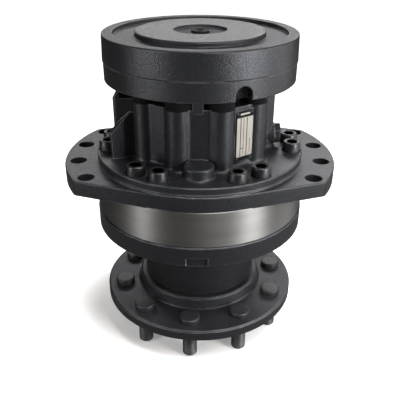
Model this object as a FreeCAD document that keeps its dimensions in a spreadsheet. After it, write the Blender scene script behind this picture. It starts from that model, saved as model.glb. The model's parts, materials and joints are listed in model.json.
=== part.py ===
"""Hydraulic drive motor: a slow, strong radial-piston motor with a wheel flange and a disc brake.

Millimetres. The origin is on the shaft's axis, at the lower face of the mounting flange. +Z points from
the wheel to the brake, and -Y is the side that carries the name plate and the round boss.

From the wheel upwards: the output shaft turns in two taper roller bearings in the neck of the front case.
It carries the cylinder block, whose eight pistons push rollers against the six lobes of the cam ring.
The distributor stands still above the block and feeds it. A thin brake shaft runs up through the
distributor to a pack of discs, which disc springs clamp through the brake piston.
"""

import FreeCAD, Part
import math
import os

import Sketcher

os.makedirs("parts", exist_ok=True)
doc = FreeCAD.newDocument("drive_motor")

SIZES = {
    # fits
    "running_gap": 0.3,
    "fit_gap": 0.05,
    "spline_gap": 0.1,
    "edge_break": 1.0,
    # mounting flange
    "flange_thickness": 18.0,
    "pad_rise": 3.0,
    "pad_inset": 0.7,
    "ear_radius": 164.5,
    "ear_slope": 19.5,
    "ear_corner": 7.0,
    "ear_edge": 1.5,
    "frame_bolt_inset": 16.0,
    "frame_bolt_hole": 10.0,
    "frame_bolt_inner_angle": 10.0,
    "frame_bolt_outer_angle": 30.0,
    "spigot_inset": 17.1,
    # case screws
    "case_screw_circle": 112.1,
    "case_screw_half_angle": 7.6,
    "case_screw_turn": -0.95,
    "case_screw_radius": 7.0,
    "case_screw_hole": 7.5,
    "case_screw_head": 10.5,
    "case_screw_head_height": 14.0,
    "case_screw_socket": 12.0,
    "case_screw_length": 90.0,
    "spot_face_radius": 11.5,
    "spot_face_depth": 2.5,
    "screw_access": 14.6,
    # cam ring
    "cam_rim": 15.2,
    "cam_height": 43.3,
    "cam_sink": 0.8,
    "track_inset": 11.1,
    "cam_lift": 6.0,
    "cam_edge": 0.8,
    # front case
    "case_ring_step": 1.7,
    "case_ring_height": 24.8,
    "neck_radius": 72.4,
    "neck_length": 79.4,
    "neck_fillet": 6.0,
    "block_pit_gap": 2.5,
    "block_pit_depth": 6.0,
    "case_bore_radius": 64.0,
    "cup_shoulder_radius": 57.0,
    "notch_left": -15.0,
    "notch_right": 9.6,
    "notch_height": 11.6,
    "notch_depth": 3.0,
    # output shaft and wheel flange
    "neck_gap": 1.3,
    "collar_height": 14.9,
    "collar_top_radius": 79.5,
    "collar_foot_radius": 82.0,
    "collar_fillet": 3.0,
    "wheel_flange_radius": 124.7,
    "wheel_flange_thickness": 13.9,
    "pilot_radius": 80.0,
    "pilot_height": 7.2,
    "pilot_recess_radius": 62.0,
    "pilot_recess_depth": 12.0,
    "seal_journal_radius": 52.0,
    "journal_radius": 42.5,
    "nut_thread_radius": 41.0,
    "block_spline_radius": 35.5,
    "block_spline_tooth": 2.6,
    "block_spline_width": 7.0,
    "quill_spline_radius": 18.0,
    "quill_spline_tooth": 2.2,
    "quill_spline_width": 6.0,
    "quill_depth": 42.0,
    # wheel studs
    "stud_circle": 102.5,
    "stud_start_angle": 11.5,
    "stud_radius": 9.0,
    "stud_knurl_radius": 9.6,
    "stud_head_radius": 12.5,
    "stud_head_height": 7.35,
    "stud_length": 52.8,
    # taper roller bearings
    "bearing_outer": 62.5,
    "bearing_width": 20.0,
    "front_bearing_level": -123.5,
    "rear_bearing_level": -80.0,
    "roller_circle": 52.0,
    "roller_tilt": 14.0,
    "roller_half_taper": 1.5,
    "roller_length": 15.0,
    "cone_rib": 2.4,
    "cone_overhang": 1.5,
    "cage_thickness": 1.2,
    "nut_outer": 54.0,
    "nut_height": 7.5,
    "nut_slot": 3.0,
    "sleeve_wall": 3.0,
    # shaft seal
    "shaft_seal_height": 11.0,
    "shaft_seal_wall": 2.0,
    # cylinder block and pistons
    "block_clearance": 6.0,
    "block_below": 4.0,
    "block_above": 4.0,
    "block_turn": 7.5,
    "piston_radius": 18.0,
    "piston_clearance": 5.4,
    "roller_clearance": 0.6,
    "piston_below_roller": 22.0,
    "piston_above_roller": 2.5,
    "cam_roller_radius": 10.0,
    "cam_roller_length": 26.0,
    "block_port_circle": 54.0,
    "block_port_radius": 5.5,
    # distributor
    "face_gap": 0.1,
    "head_radius": 76.0,
    "head_top": 18.0,
    "low_land_radius": 64.0,
    "mid_land_radius": 62.0,
    "high_land_radius": 60.0,
    "low_groove_floor": 54.0,
    "high_groove_floor": 45.0,
    "low_groove_level": 57.0,
    "high_groove_level": 72.0,
    "groove_height": 11.0,
    "distributor_top": 86.0,
    "quill_bore": 24.0,
    "low_feed_circle": 58.0,
    "low_feed_angle": 15.0,
    "high_feed_circle": 48.5,
    "high_feed_angle": 45.0,
    "feed_radius": 3.5,
    "ring_seal_width": 2.4,
    "ring_seal_depth": 2.6,
    "spring_clearance": 3.0,
    # valve housing
    "housing_flange_rim": 12.9,
    "housing_flange_height": 7.7,
    "wall_distance": 79.5,
    "wall_root": 71.5,
    "column_circle": 75.2,
    "column_radius": 14.0,
    "column_height": 70.0,
    "column_side_fillet": 7.0,
    "column_foot_fillet": 5.0,
    "spigot_depth": 9.0,
    "spring_room": 89.0,
    "hub_bore": 34.0,
    "front_boss_x": -1.0,
    "front_boss_y": -93.0,
    "front_boss_radius": 17.0,
    "front_boss_height": 13.3,
    "front_boss_edge": 2.5,
    "front_boss_flare": 3.0,
    "rib_angle": -157.0,
    "rib_thickness": 8.0,
    "rib_foot": 111.3,
    "rib_shoulder": 67.0,
    "rib_peak": 82.5,
    "port_block_reach": 99.2,
    "port_block_width": 72.0,
    "port_block_top": 98.0,
    "port_lip_inner": 91.0,
    "port_lip_rise": 7.0,
    "port_block_chamfer": 7.0,
    "port_block_corner": 4.0,
    "port_level": 70.0,
    "port_spacing": 38.0,
    "port_radius": 12.1,
    "port_depth": 18.0,
    "gallery_radius": 4.8,
    "gallery_shift": 6.9,
    "drain_y": 0.0,
    "drain_level": 44.5,
    "drain_boss_radius": 13.0,
    "drain_reach": 90.2,
    "drain_bore": 8.0,
    "drain_bore_depth": 14.0,
    "drain_hex": 22.0,
    "drain_hex_height": 7.5,
    # brake housing
    "brake_radius": 111.0,
    "brake_boss_height": 16.2,
    "brake_wall_height": 21.7,
    "brake_floor": 4.6,
    "brake_bore": 92.0,
    "brake_recess": 98.0,
    "brake_recess_depth": 5.6,
    "disc_bore": 56.1,
    "disc_lug_width": 14.0,
    "disc_lug_rise": 2.0,
    "brake_spigot": 66.0,
    "plug_bore": 58.5,
    "plug_bore_floor": 114.3,
    "tab_left": -7.6,
    "tab_right": 3.4,
    "tab_height": 10.4,
    "tab_thickness": 8.0,
    "tab_corner": 2.5,
    "arch_angle": -66.3,
    "arch_half_width": 10.0,
    "arch_rise": 16.1,
    "arch_depth": 4.5,
    "release_level": 123.4,
    "release_port": 5.1,
    "release_depth": 13.0,
    "release_gallery": 1.0,
    # brake bolts
    "brake_bolt_radius": 6.0,
    "brake_bolt_head": 9.0,
    "brake_bolt_head_height": 12.0,
    "brake_bolt_length": 30.0,
    "brake_bolt_socket": 10.0,
    "brake_bolt_sink": 1.0,
    # brake discs, piston and springs
    "steel_disc": 1.2,
    "friction_disc": 2.0,
    "friction_count": 4,
    "disc_gap": 0.03,
    "steel_disc_inner": 32.0,
    "friction_disc_outer": 53.0,
    "hub_radius": 27.0,
    "hub_tooth": 3.0,
    "hub_tooth_width": 7.0,
    "hub_taper": 3.0,
    "quill_end_gap": 3.0,
    "piston_chamber": 2.0,
    "brake_piston_height": 9.5,
    "brake_nose_radius": 55.0,
    "plate_seal_rise": 3.0,
    "spring_inner": 46.0,
    "spring_outer": 86.0,
    "spring_thickness": 4.0,
    "spring_cone": 4.0,
    # brake cover
    "cover_overhang": 0.8,
    "cover_draft": 0.9,
    "cover_height": 29.8,
    "cover_edge": 1.6,
    "cover_recess_outer": 99.2,
    "cover_recess_inner": 74.1,
    "cover_recess_depth": 4.4,
    "cover_disc_rise": 1.5,
    "cover_disc_edge": 2.2,
    "cover_well_radius": 30.6,
    "cover_well_depth": 3.5,
    "plug_radius": 10.4,
    "plug_height": 2.8,
    "plug_thread": 8.0,
    "plug_length": 14.0,
    "plug_socket": 8.0,
    "snap_ring_height": 2.0,
    "snap_ring_width": 3.0,
    "snap_ring_level": 133.4,
    # name plate
    "plate_width": 24.0,
    "plate_height": 57.0,
    "plate_thickness": 1.0,
    "plate_level": 65.4,
    "plate_shift": 0.9,
    "plate_angle": -54.0,
    "plate_pad_rise": 2.0,
    "plate_pad_border": 1.0,
}

LOBES = 6
COLUMNS = 10
STUDS = 10
PISTONS = 8
BEARING_ROLLERS = 16
CAM_POINTS_PER_LOBE = 8
BLOCK_TEETH = 12
QUILL_TEETH = 6
DISC_LUGS = 6
NUT_SLOTS = 4
TOLERANCE = 0.01


class Size:
    """A number together with the sheet expression that gives it."""

    def __init__(self, value, text):
        self.value, self.text = value, text

    def __add__(self, other):
        other = as_size(other)
        return Size(self.value + other.value, f"({self.text} + {other.text})")

    def __sub__(self, other):
        other = as_size(other)
        return Size(self.value - other.value, f"({self.text} - {other.text})")

    def __mul__(self, other):
        other = as_size(other)
        return Size(self.value * other.value, f"({self.text} * {other.text})")

    def __truediv__(self, other):
        other = as_size(other)
        return Size(self.value / other.value, f"({self.text} / {other.text})")

    def __radd__(self, other):
        return as_size(other) + self

    def __neg__(self):
        return Size(-self.value, f"(0 - {self.text})")


def as_size(number):
    """A plain number as a Size."""
    return number if isinstance(number, Size) else Size(float(number), repr(float(number)))


def cosine(degrees):
    degrees = as_size(degrees)
    return Size(math.cos(math.radians(degrees.value)), f"cos({degrees.text} * 1 deg)")


def sine(degrees):
    degrees = as_size(degrees)
    return Size(math.sin(math.radians(degrees.value)), f"sin({degrees.text} * 1 deg)")


def tangent(degrees):
    return sine(degrees) / cosine(degrees)


class SheetSizes:
    """The sheet's cells by name."""

    def __getattr__(self, name):
        return Size(SIZES[name], f"Sizes.{name}")


def make_sheet():
    sheet = doc.addObject("Spreadsheet::Sheet", "Sizes")
    for row, (name, value) in enumerate(SIZES.items(), start=1):
        sheet.set(f"A{row}", name)
        sheet.set(f"B{row}", str(value))
        sheet.setAlias(f"B{row}", name)
    doc.recompute()


d = SheetSizes()
make_sheet()

# Radii worked out from the circle of the case screws and from the ears
housing_flange_radius = d.case_screw_circle + d.housing_flange_rim
spigot_radius = d.case_screw_circle - d.spigot_inset
cam_outer = d.case_screw_circle + d.cam_rim
pad_radius = cam_outer - d.pad_inset
case_ring_radius = cam_outer + d.case_ring_step
cam_mean = d.case_screw_circle - d.track_inset
cam_shortest = cam_mean - d.cam_lift
block_radius = cam_shortest - d.block_clearance
block_pit_radius = block_radius + d.block_pit_gap
piston_rest = cam_shortest - d.cam_roller_radius - d.roller_clearance
cylinder_floor = piston_rest - d.piston_below_roller - d.piston_clearance
frame_bolt_circle = d.ear_radius - d.frame_bolt_inset
seal_sink = d.ring_seal_depth
cam_seal_inner = d.case_screw_circle + d.case_screw_hole + d.edge_break
cam_seal_outer = cam_seal_inner + d.ring_seal_width
flange_seal_inner = spigot_radius + d.edge_break * 2

# Levels along the shaft, each worked out from the pieces below and above it
flange_top = d.flange_thickness
pad_top = flange_top + d.pad_rise
cam_top = d.cam_sink
cam_foot = cam_top - d.cam_height
case_ring_foot = cam_foot - d.case_ring_height
neck_foot = case_ring_foot - d.neck_length
collar_top = neck_foot - d.neck_gap
wheel_flange_top = collar_top - d.collar_height
wheel_face = wheel_flange_top - d.wheel_flange_thickness
pilot_foot = wheel_face - d.pilot_height
block_foot = cam_foot - d.block_below
block_top = d.block_above
block_middle = cam_foot / 2
distributor_foot = block_top + d.face_gap
housing_flange_top = pad_top + d.housing_flange_height
housing_top = housing_flange_top + d.column_height
brake_foot = housing_top + d.brake_boss_height
brake_top = brake_foot + d.brake_wall_height
brake_floor_top = brake_foot + d.brake_floor
brake_bolt_seat = brake_floor_top - d.brake_bolt_sink - d.brake_bolt_head_height
cover_top = brake_top + d.cover_height
screw_seat = housing_flange_top - d.spot_face_depth
disc_pitch = d.steel_disc + d.friction_disc + d.disc_gap * 2
disc_pack_top = housing_top + d.disc_gap + disc_pitch * d.friction_count + d.steel_disc
piston_foot = disc_pack_top + d.disc_gap
piston_plate_foot = brake_floor_top + d.piston_chamber
piston_top = piston_plate_foot + d.brake_piston_height
spring_stack = (d.spring_thickness + d.spring_cone) * 2
cover_ceiling = piston_top + spring_stack + d.fit_gap * 2
cup_half = d.bearing_width / 2
cone_half = cup_half + d.cone_overhang


def same(a, b):
    return abs(a - b) < TOLERANCE


def plane(body, role):
    """One of the body's own origin planes or axes."""
    return next(f for f in body.Origin.OriginFeatures if f.Role == role)


def new_body(label):
    body = doc.addObject("PartDesign::Body", label)
    body.Label = label
    return body


def new_sketch(body, role, offset=(0, 0, 0), turn=0):
    """A sketch on an origin plane, moved by offset in its own axes and turned about the shaft's axis."""
    sketch = body.newObject("Sketcher::SketchObject", body.Label + "_sketch")
    sketch.AttachmentSupport = [(plane(body, role), "")]
    sketch.MapMode = "FlatFace"
    base = [as_size(number) for number in offset]
    turn = as_size(turn)
    shaft_axis = FreeCAD.Vector(0, 0, 1) if role == "XY_Plane" else FreeCAD.Vector(0, 1, 0)
    sketch.AttachmentOffset = FreeCAD.Placement(
        FreeCAD.Vector(*[number.value for number in base]), FreeCAD.Rotation(shaft_axis, turn.value))
    for axis, number in zip("xyz", base):
        if number.text != "0.0":
            sketch.setExpression(f"AttachmentOffset.Base.{axis}", number.text)
    return sketch


def pin_point(sketch, geometry, vertex, x, y):
    """Ties one point of a sketch to its two sizes."""
    for kind, size in (("DistanceX", as_size(x)), ("DistanceY", as_size(y))):
        index = sketch.addConstraint(Sketcher.Constraint(kind, -1, 1, geometry, vertex, size.value))
        sketch.setExpression(f"Constraints[{index}]", size.text)


def draw_outline(sketch, points):
    """A closed outline of straight lines."""
    corners = [FreeCAD.Vector(as_size(x).value, as_size(y).value, 0) for x, y in points]
    first = sketch.GeometryCount
    for i, corner in enumerate(corners):
        sketch.addGeometry(Part.LineSegment(corner, corners[(i + 1) % len(corners)]), False)
    for i, (x, y) in enumerate(points):
        follower = first + (i + 1) % len(points)
        sketch.addConstraint(Sketcher.Constraint("Coincident", first + i, 2, follower, 1))
        pin_point(sketch, first + i, 1, x, y)


def draw_circle(sketch, x, y, radius):
    x, y, radius = as_size(x), as_size(y), as_size(radius)
    centre = FreeCAD.Vector(x.value, y.value, 0)
    circle = sketch.addGeometry(Part.Circle(centre, FreeCAD.Vector(0, 0, 1), radius.value), False)
    index = sketch.addConstraint(Sketcher.Constraint("Radius", circle, radius.value))
    sketch.setExpression(f"Constraints[{index}]", radius.text)
    pin_point(sketch, circle, 3, x, y)


def turned(body, points, axis_offset=(0, 0, 0), cut=False):
    """A ring turned from an outline of (radius, level) points."""
    sketch = new_sketch(body, "XZ_Plane", axis_offset)
    draw_outline(sketch, points)
    kind = "Groove" if cut else "Revolution"
    feature = body.newObject(f"PartDesign::{kind}", f"{body.Label}_{kind.lower()}")
    feature.Profile = sketch
    feature.ReferenceAxis = (sketch, ["V_Axis"])
    feature.Angle = 360
    return feature


def extruded(body, sketch, length, cut=False, reverse=False, middle=False):
    """Adds or cuts along the sketch's normal. A cut goes against the normal unless reversed."""
    kind = "Pocket" if cut else "Pad"
    feature = body.newObject(f"PartDesign::{kind}", f"{body.Label}_{kind.lower()}")
    feature.Profile = sketch
    feature.Length = as_size(length).value
    feature.setExpression("Length", as_size(length).text)
    feature.Reversed = reverse
    feature.Midplane = middle
    return feature


def round_pads(body, circles, foot, height):
    """Upright cylinders that stand at the level of their foot."""
    sketch = new_sketch(body, "XY_Plane", (0, 0, foot))
    for x, y, radius in circles:
        draw_circle(sketch, x, y, radius)
    return extruded(body, sketch, height)


def round_holes(body, circles, mouth, depth):
    """Holes drilled downwards from the level of their mouth."""
    sketch = new_sketch(body, "XY_Plane", (0, 0, mouth))
    for x, y, radius in circles:
        draw_circle(sketch, x, y, radius)
    return extruded(body, sketch, depth, cut=True)


def repeated(body, features, count):
    """Repeats features evenly about the shaft's axis."""
    pattern = body.newObject("PartDesign::PolarPattern", body.Label + "_ring")
    pattern.Originals = features
    pattern.Axis = (plane(body, "Z_Axis"), [""])
    pattern.Angle = 360
    pattern.Occurrences = int(count)
    body.Tip = pattern
    return pattern


def circular_edges(shape, radius, level):
    """The names of the whole circles about the shaft's axis with this radius and level."""
    names = []
    for i, edge in enumerate(shape.Edges, start=1):
        curve = edge.Curve
        if isinstance(curve, Part.Circle) and same(curve.Radius, radius) and same(curve.Center.z, level):
            if same(math.hypot(curve.Center.x, curve.Center.y), 0):
                names.append(f"Edge{i}")
    return names


def dressed(body, kind, size, edges):
    """A Fillet or Chamfer on the named edges of the body's tip."""
    feature = body.newObject(f"PartDesign::{kind}", f"{body.Label}_{kind.lower()}")
    feature.Base = (feature.BaseFeature, edges)
    prop = "Radius" if kind == "Fillet" else "Size"
    setattr(feature, prop, size.value)
    feature.setExpression(prop, size.text)
    return feature


def dress_circles(body, kind, size, circles):
    """Breaks or rounds whole circular edges given as (radius, level)."""
    doc.recompute()
    edges = []
    for radius, level in circles:
        edges += circular_edges(body.Shape, as_size(radius).value, as_size(level).value)
    return dressed(body, kind, size, edges)


def polar_point(radius, degrees):
    return radius * cosine(degrees), radius * sine(degrees)


def spline_tooth(body, root, height, width, foot, length, gap=0.0, cut=False):
    """One straight tooth or slot on a shaft or in a bore, to be repeated about the axis."""
    overlap = 1.0
    inner, outer = root - overlap, root + height + gap
    half = width / 2 + gap
    sketch = new_sketch(body, "XY_Plane", (0, 0, foot))
    draw_outline(sketch, [(inner, -half), (outer, -half), (outer, half), (inner, half)])
    return extruded(body, sketch, length, cut=cut, reverse=cut)


def hexagon(sketch, x, y, across_flats):
    """A hexagon with a corner towards +X."""
    corner = across_flats / 2 / cosine(30)
    points = [(x + corner * cosine(60 * k), y + corner * sine(60 * k)) for k in range(6)]
    draw_outline(sketch, points)


def socket_screws(label, circle, angles, count, seat, sizes):
    """Socket head screws, repeated about the axis. sizes: shank, head, head height, length, socket."""
    shank, head, head_height, length, socket = sizes
    body = new_body(label)
    body.AllowCompound = True
    features = []
    head_top = seat + head_height
    for degrees in angles:
        x, y = polar_point(circle, degrees)
        bevel = d.edge_break
        features.append(turned(body, [
            (0, seat - length), (shank - bevel, seat - length), (shank, seat - length + bevel),
            (shank, seat), (head, seat), (head, head_top - bevel), (head - bevel, head_top),
            (0, head_top)], (x, 0, -y)))
        sketch = new_sketch(body, "XY_Plane", (0, 0, head_top))
        hexagon(sketch, x, y, socket)
        features.append(extruded(body, sketch, head_height / 2, cut=True))
    repeated(body, features, count)
    return body


def seal_ring(label, rings):
    """Square-section seal rings, each given as (inner radius, outer radius, foot, top)."""
    body = new_body(label)
    body.AllowCompound = True
    for inner, outer, foot, top in rings:
        turned(body, [(inner, foot), (outer, foot), (outer, top), (inner, top)])
    return body


def mounting_flange():
    """A plate with two ears, with a raised pad for the valve housing and a sunk seat for the cam ring."""
    body = new_body("mounting_flange")
    apex = pad_radius / cosine(d.ear_slope)
    reach = d.ear_radius + d.edge_break
    side = apex - reach * tangent(d.ear_slope)
    sketch = new_sketch(body, "XY_Plane")
    draw_outline(sketch, [(0, apex), (-reach, side), (-reach, -side), (0, -apex), (reach, -side),
                          (reach, side)])
    extruded(body, sketch, flange_top)
    beyond = d.ear_radius + d.flange_thickness * 2
    turned(body, [(d.ear_radius, -d.edge_break), (beyond, -d.edge_break),
                  (beyond, pad_top), (d.ear_radius, pad_top)], cut=True)
    doc.recompute()
    dressed(body, "Fillet", pad_radius, upright_edges(body.Shape, lambda x, y: abs(x) < 1))
    doc.recompute()
    dressed(body, "Fillet", d.ear_corner, upright_edges(
        body.Shape, lambda x, y: same(math.hypot(x, y), d.ear_radius.value)))
    doc.recompute()
    dressed(body, "Fillet", d.ear_edge, level_edges(body.Shape, flange_top.value))
    round_pads(body, [(0, 0, pad_radius - d.ear_edge)], flange_top, d.pad_rise)
    dress_circles(body, "Chamfer", d.cam_edge, [(pad_radius - d.ear_edge, pad_top)])
    round_holes(body, [(0, 0, spigot_radius)], pad_top, pad_top)
    round_holes(body, [(0, 0, cam_outer + d.running_gap)], cam_top, cam_top)
    ear_holes = []
    for side_angle in (0, 180):
        for degrees in (d.frame_bolt_inner_angle, d.frame_bolt_outer_angle):
            for sign in (-1, 1):
                spot = polar_point(frame_bolt_circle, degrees * sign + side_angle)
                ear_holes.append((*spot, d.frame_bolt_hole))
    round_holes(body, ear_holes, flange_top, flange_top)
    repeated(body, [round_holes(body, screw_pair(d.case_screw_hole), pad_top, pad_top)], LOBES)


def upright_edges(shape, wanted):
    """Names of the edges along Z whose x and y are wanted."""
    names = []
    for i, edge in enumerate(shape.Edges, start=1):
        start, end = edge.firstVertex().Point, edge.lastVertex().Point
        if same(start.x, end.x) and same(start.y, end.y) and not same(start.z, end.z):
            if wanted(start.x, start.y):
                names.append(f"Edge{i}")
    return names


def level_edges(shape, level, wanted=lambda edge: True):
    """Names of the edges that lie flat at one level."""
    return [f"Edge{i}" for i, edge in enumerate(shape.Edges, start=1)
            if same(edge.BoundBox.ZLength, 0) and same(edge.BoundBox.ZMin, level) and wanted(edge)]


def screw_pair(radius):
    """The two case screws beside one crest of the cam, as circles."""
    return [(*polar_point(d.case_screw_circle, degrees), radius) for degrees in screw_angles()]


def screw_angles():
    """The angles of the first two case screws."""
    return [d.case_screw_turn + d.case_screw_half_angle * sign for sign in (-1, 1)]


def cam_radius(degrees):
    """The cam's inner radius: shortest in line with each pair of case screws."""
    return cam_mean.value - d.cam_lift.value * math.cos(math.radians(LOBES * degrees))


def upright_cylinder(radius, foot, top, x=0.0, y=0.0):
    """A plain solid cylinder along Z."""
    return Part.makeCylinder(radius, top - foot, FreeCAD.Vector(x, y, foot))


def plain_solid(label, shape):
    """A sub-part whose shape is worked out directly."""
    feature = doc.addObject("Part::Feature", label)
    feature.Label = label
    feature.Shape = shape
    feature.Placement = FreeCAD.Placement()
    return feature


def cam_ring():
    """A steel ring with a smooth six-lobed track inside and a groove for a seal in each face."""
    foot, top, edge = cam_foot.value, cam_top.value, d.cam_edge.value
    ring = upright_cylinder(cam_outer.value, foot, top)
    rims = [e for e in ring.Edges if e.Closed and e.BoundBox.ZLength < TOLERANCE]
    ring = ring.makeChamfer(edge, rims)
    points = []
    steps = LOBES * CAM_POINTS_PER_LOBE
    for i in range(steps):
        degrees = 360 * i / steps
        radius = cam_radius(degrees)
        points.append(FreeCAD.Vector(radius * math.cos(math.radians(degrees)),
                                     radius * math.sin(math.radians(degrees)), foot))
    track = Part.BSplineCurve()
    track.interpolate(Points=points, PeriodicFlag=True)
    hollow = Part.Face(Part.Wire(track.toShape())).extrude(FreeCAD.Vector(0, 0, top - foot))
    tools = [hollow]
    for k in range(LOBES):
        for first in screw_angles():
            x, y = polar_point(d.case_screw_circle, 360 * k / LOBES + first)
            tools.append(upright_cylinder(d.case_screw_hole.value, foot, top, x.value, y.value))
    for low in (foot, top - seal_sink.value):
        high = low + seal_sink.value
        outer = upright_cylinder(cam_seal_outer.value + d.fit_gap.value, low, high)
        inner = upright_cylinder(cam_seal_inner.value - d.fit_gap.value, low, high)
        tools.append(outer.cut(inner))
    plain_solid("cam_ring", ring.cut(tools))


def case_seals():
    """Seal rings in the faces of the cam ring and of the valve housing."""
    gap = d.fit_gap
    seal_ring("cam_ring_seals", [
        (cam_seal_inner, cam_seal_outer, cam_foot, cam_foot + seal_sink - gap),
        (cam_seal_inner, cam_seal_outer, cam_top - seal_sink + gap, cam_top)])
    seal_ring("valve_housing_seal", [
        (flange_seal_inner, flange_seal_inner + d.ring_seal_width, pad_top, pad_top + seal_sink - gap)])


def front_case():
    """The wheel-side casting: a thick ring below the cam ring, and a neck that holds both bearings."""
    body = new_body("front_case")
    edge = d.edge_break
    pit_floor = cam_foot - d.block_pit_depth
    cups = [(level - cup_half, level + cup_half) for level in (d.front_bearing_level, d.rear_bearing_level)]
    seal_seat = neck_foot + d.shaft_seal_height + edge
    turned(body, [
        (d.neck_radius - edge, neck_foot), (d.neck_radius, neck_foot + edge),
        (d.neck_radius, case_ring_foot), (case_ring_radius - edge * 2, case_ring_foot),
        (case_ring_radius, case_ring_foot + edge * 2), (case_ring_radius, cam_foot - edge),
        (case_ring_radius - edge, cam_foot), (block_pit_radius, cam_foot),
        (block_pit_radius, pit_floor), (d.case_bore_radius, pit_floor),
        (d.case_bore_radius, cups[1][1]), (d.bearing_outer, cups[1][1]),
        (d.bearing_outer, cups[1][0]), (d.cup_shoulder_radius, cups[1][0]),
        (d.cup_shoulder_radius, cups[0][1]), (d.bearing_outer, cups[0][1]),
        (d.bearing_outer, cups[0][0]), (d.case_bore_radius, cups[0][0]),
        (d.case_bore_radius, neck_foot)])
    dress_circles(body, "Fillet", d.neck_fillet, [(d.neck_radius, case_ring_foot)])
    sketch = new_sketch(body, "XZ_Plane", (0, 0, case_ring_radius - d.notch_depth))
    draw_outline(sketch, [(d.notch_left, case_ring_foot - edge), (d.notch_right, case_ring_foot - edge),
                          (d.notch_right, case_ring_foot + d.notch_height),
                          (d.notch_left, case_ring_foot + d.notch_height)])
    extruded(body, sketch, d.notch_depth * 2, cut=True, reverse=True)
    tapped_depth = cam_foot - screw_seat + d.case_screw_length + edge
    holes = round_holes(body, screw_pair(d.case_screw_radius + d.fit_gap), cam_foot, tapped_depth)
    repeated(body, [holes], LOBES)


def output_shaft():
    """One forging: the wheel flange with its pilot, the collar round the neck, and the stepped shaft."""
    body = new_body("output_shaft")
    edge = d.edge_break
    shoulder = d.front_bearing_level - cone_half
    nut_foot = d.rear_bearing_level + cone_half
    nut_end = nut_foot + d.nut_height + edge
    recess_top = pilot_foot + d.pilot_recess_depth
    turned(body, [
        (0, recess_top), (d.pilot_recess_radius - d.pilot_recess_depth / 2, recess_top),
        (d.pilot_recess_radius, pilot_foot), (d.pilot_radius - edge, pilot_foot),
        (d.pilot_radius, pilot_foot + edge), (d.pilot_radius, wheel_face),
        (d.wheel_flange_radius - edge, wheel_face), (d.wheel_flange_radius, wheel_face + edge),
        (d.wheel_flange_radius, wheel_flange_top - edge * 2),
        (d.wheel_flange_radius - edge * 2, wheel_flange_top),
        (d.collar_foot_radius, wheel_flange_top), (d.collar_top_radius, collar_top - edge * 2),
        (d.collar_top_radius - edge * 2, collar_top), (d.seal_journal_radius, collar_top),
        (d.seal_journal_radius, shoulder), (d.journal_radius, shoulder),
        (d.journal_radius, nut_foot), (d.nut_thread_radius, nut_foot),
        (d.nut_thread_radius, nut_end), (d.block_spline_radius, nut_end),
        (d.block_spline_radius, block_top - edge), (d.block_spline_radius - edge, block_top),
        (0, block_top)])
    dress_circles(body, "Fillet", d.collar_fillet, [(d.collar_foot_radius, wheel_flange_top)])
    tooth = spline_tooth(body, d.block_spline_radius, d.block_spline_tooth, d.block_spline_width,
                         nut_end, block_top - nut_end)
    repeated(body, [tooth], BLOCK_TEETH)
    bore = d.quill_spline_radius + d.spline_gap
    round_holes(body, [(0, 0, bore)], block_top, d.quill_depth)
    slot = spline_tooth(body, d.quill_spline_radius, d.quill_spline_tooth, d.quill_spline_width,
                        block_top - d.quill_depth, d.quill_depth, d.spline_gap, cut=True)
    repeated(body, [slot], QUILL_TEETH)
    hole = (*polar_point(d.stud_circle, d.stud_start_angle), d.stud_knurl_radius + d.fit_gap)
    repeated(body, [round_holes(body, [hole], wheel_flange_top, d.wheel_flange_thickness)], STUDS)


def wheel_studs():
    """Ten studs with round heads above the flange and a wider knurled part pressed into it."""
    body = new_body("wheel_studs")
    body.AllowCompound = True
    x, y = polar_point(d.stud_circle, d.stud_start_angle)
    edge = d.edge_break
    head_top = wheel_flange_top + d.stud_head_height
    end = wheel_flange_top - d.stud_length
    stud = turned(body, [
        (0, end), (d.stud_radius - edge * 1.5, end), (d.stud_radius, end + edge * 1.5),
        (d.stud_radius, wheel_face), (d.stud_knurl_radius, wheel_face),
        (d.stud_knurl_radius, wheel_flange_top), (d.stud_head_radius, wheel_flange_top),
        (d.stud_head_radius, head_top - edge), (d.stud_head_radius - edge, head_top), (0, head_top)],
        (x, 0, -y))
    repeated(body, [stud], STUDS)


def raceway(offset, half_angle_shift):
    """Radius of a cone about the shaft that passes the rollers' middle, at a distance along the shaft."""
    apex = SIZES["roller_circle"] / math.tan(math.radians(SIZES["roller_tilt"]))
    slope = math.tan(math.radians(SIZES["roller_tilt"] + half_angle_shift))
    return (apex + offset) * slope


def ring_about_shaft(points):
    """A solid turned from (radius, level) points."""
    wire = Part.makePolygon([FreeCAD.Vector(r, 0, z) for r, z in points + points[:1]])
    return Part.Face(wire).revolve(FreeCAD.Vector(), FreeCAD.Vector(0, 0, 1), 360)


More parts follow.
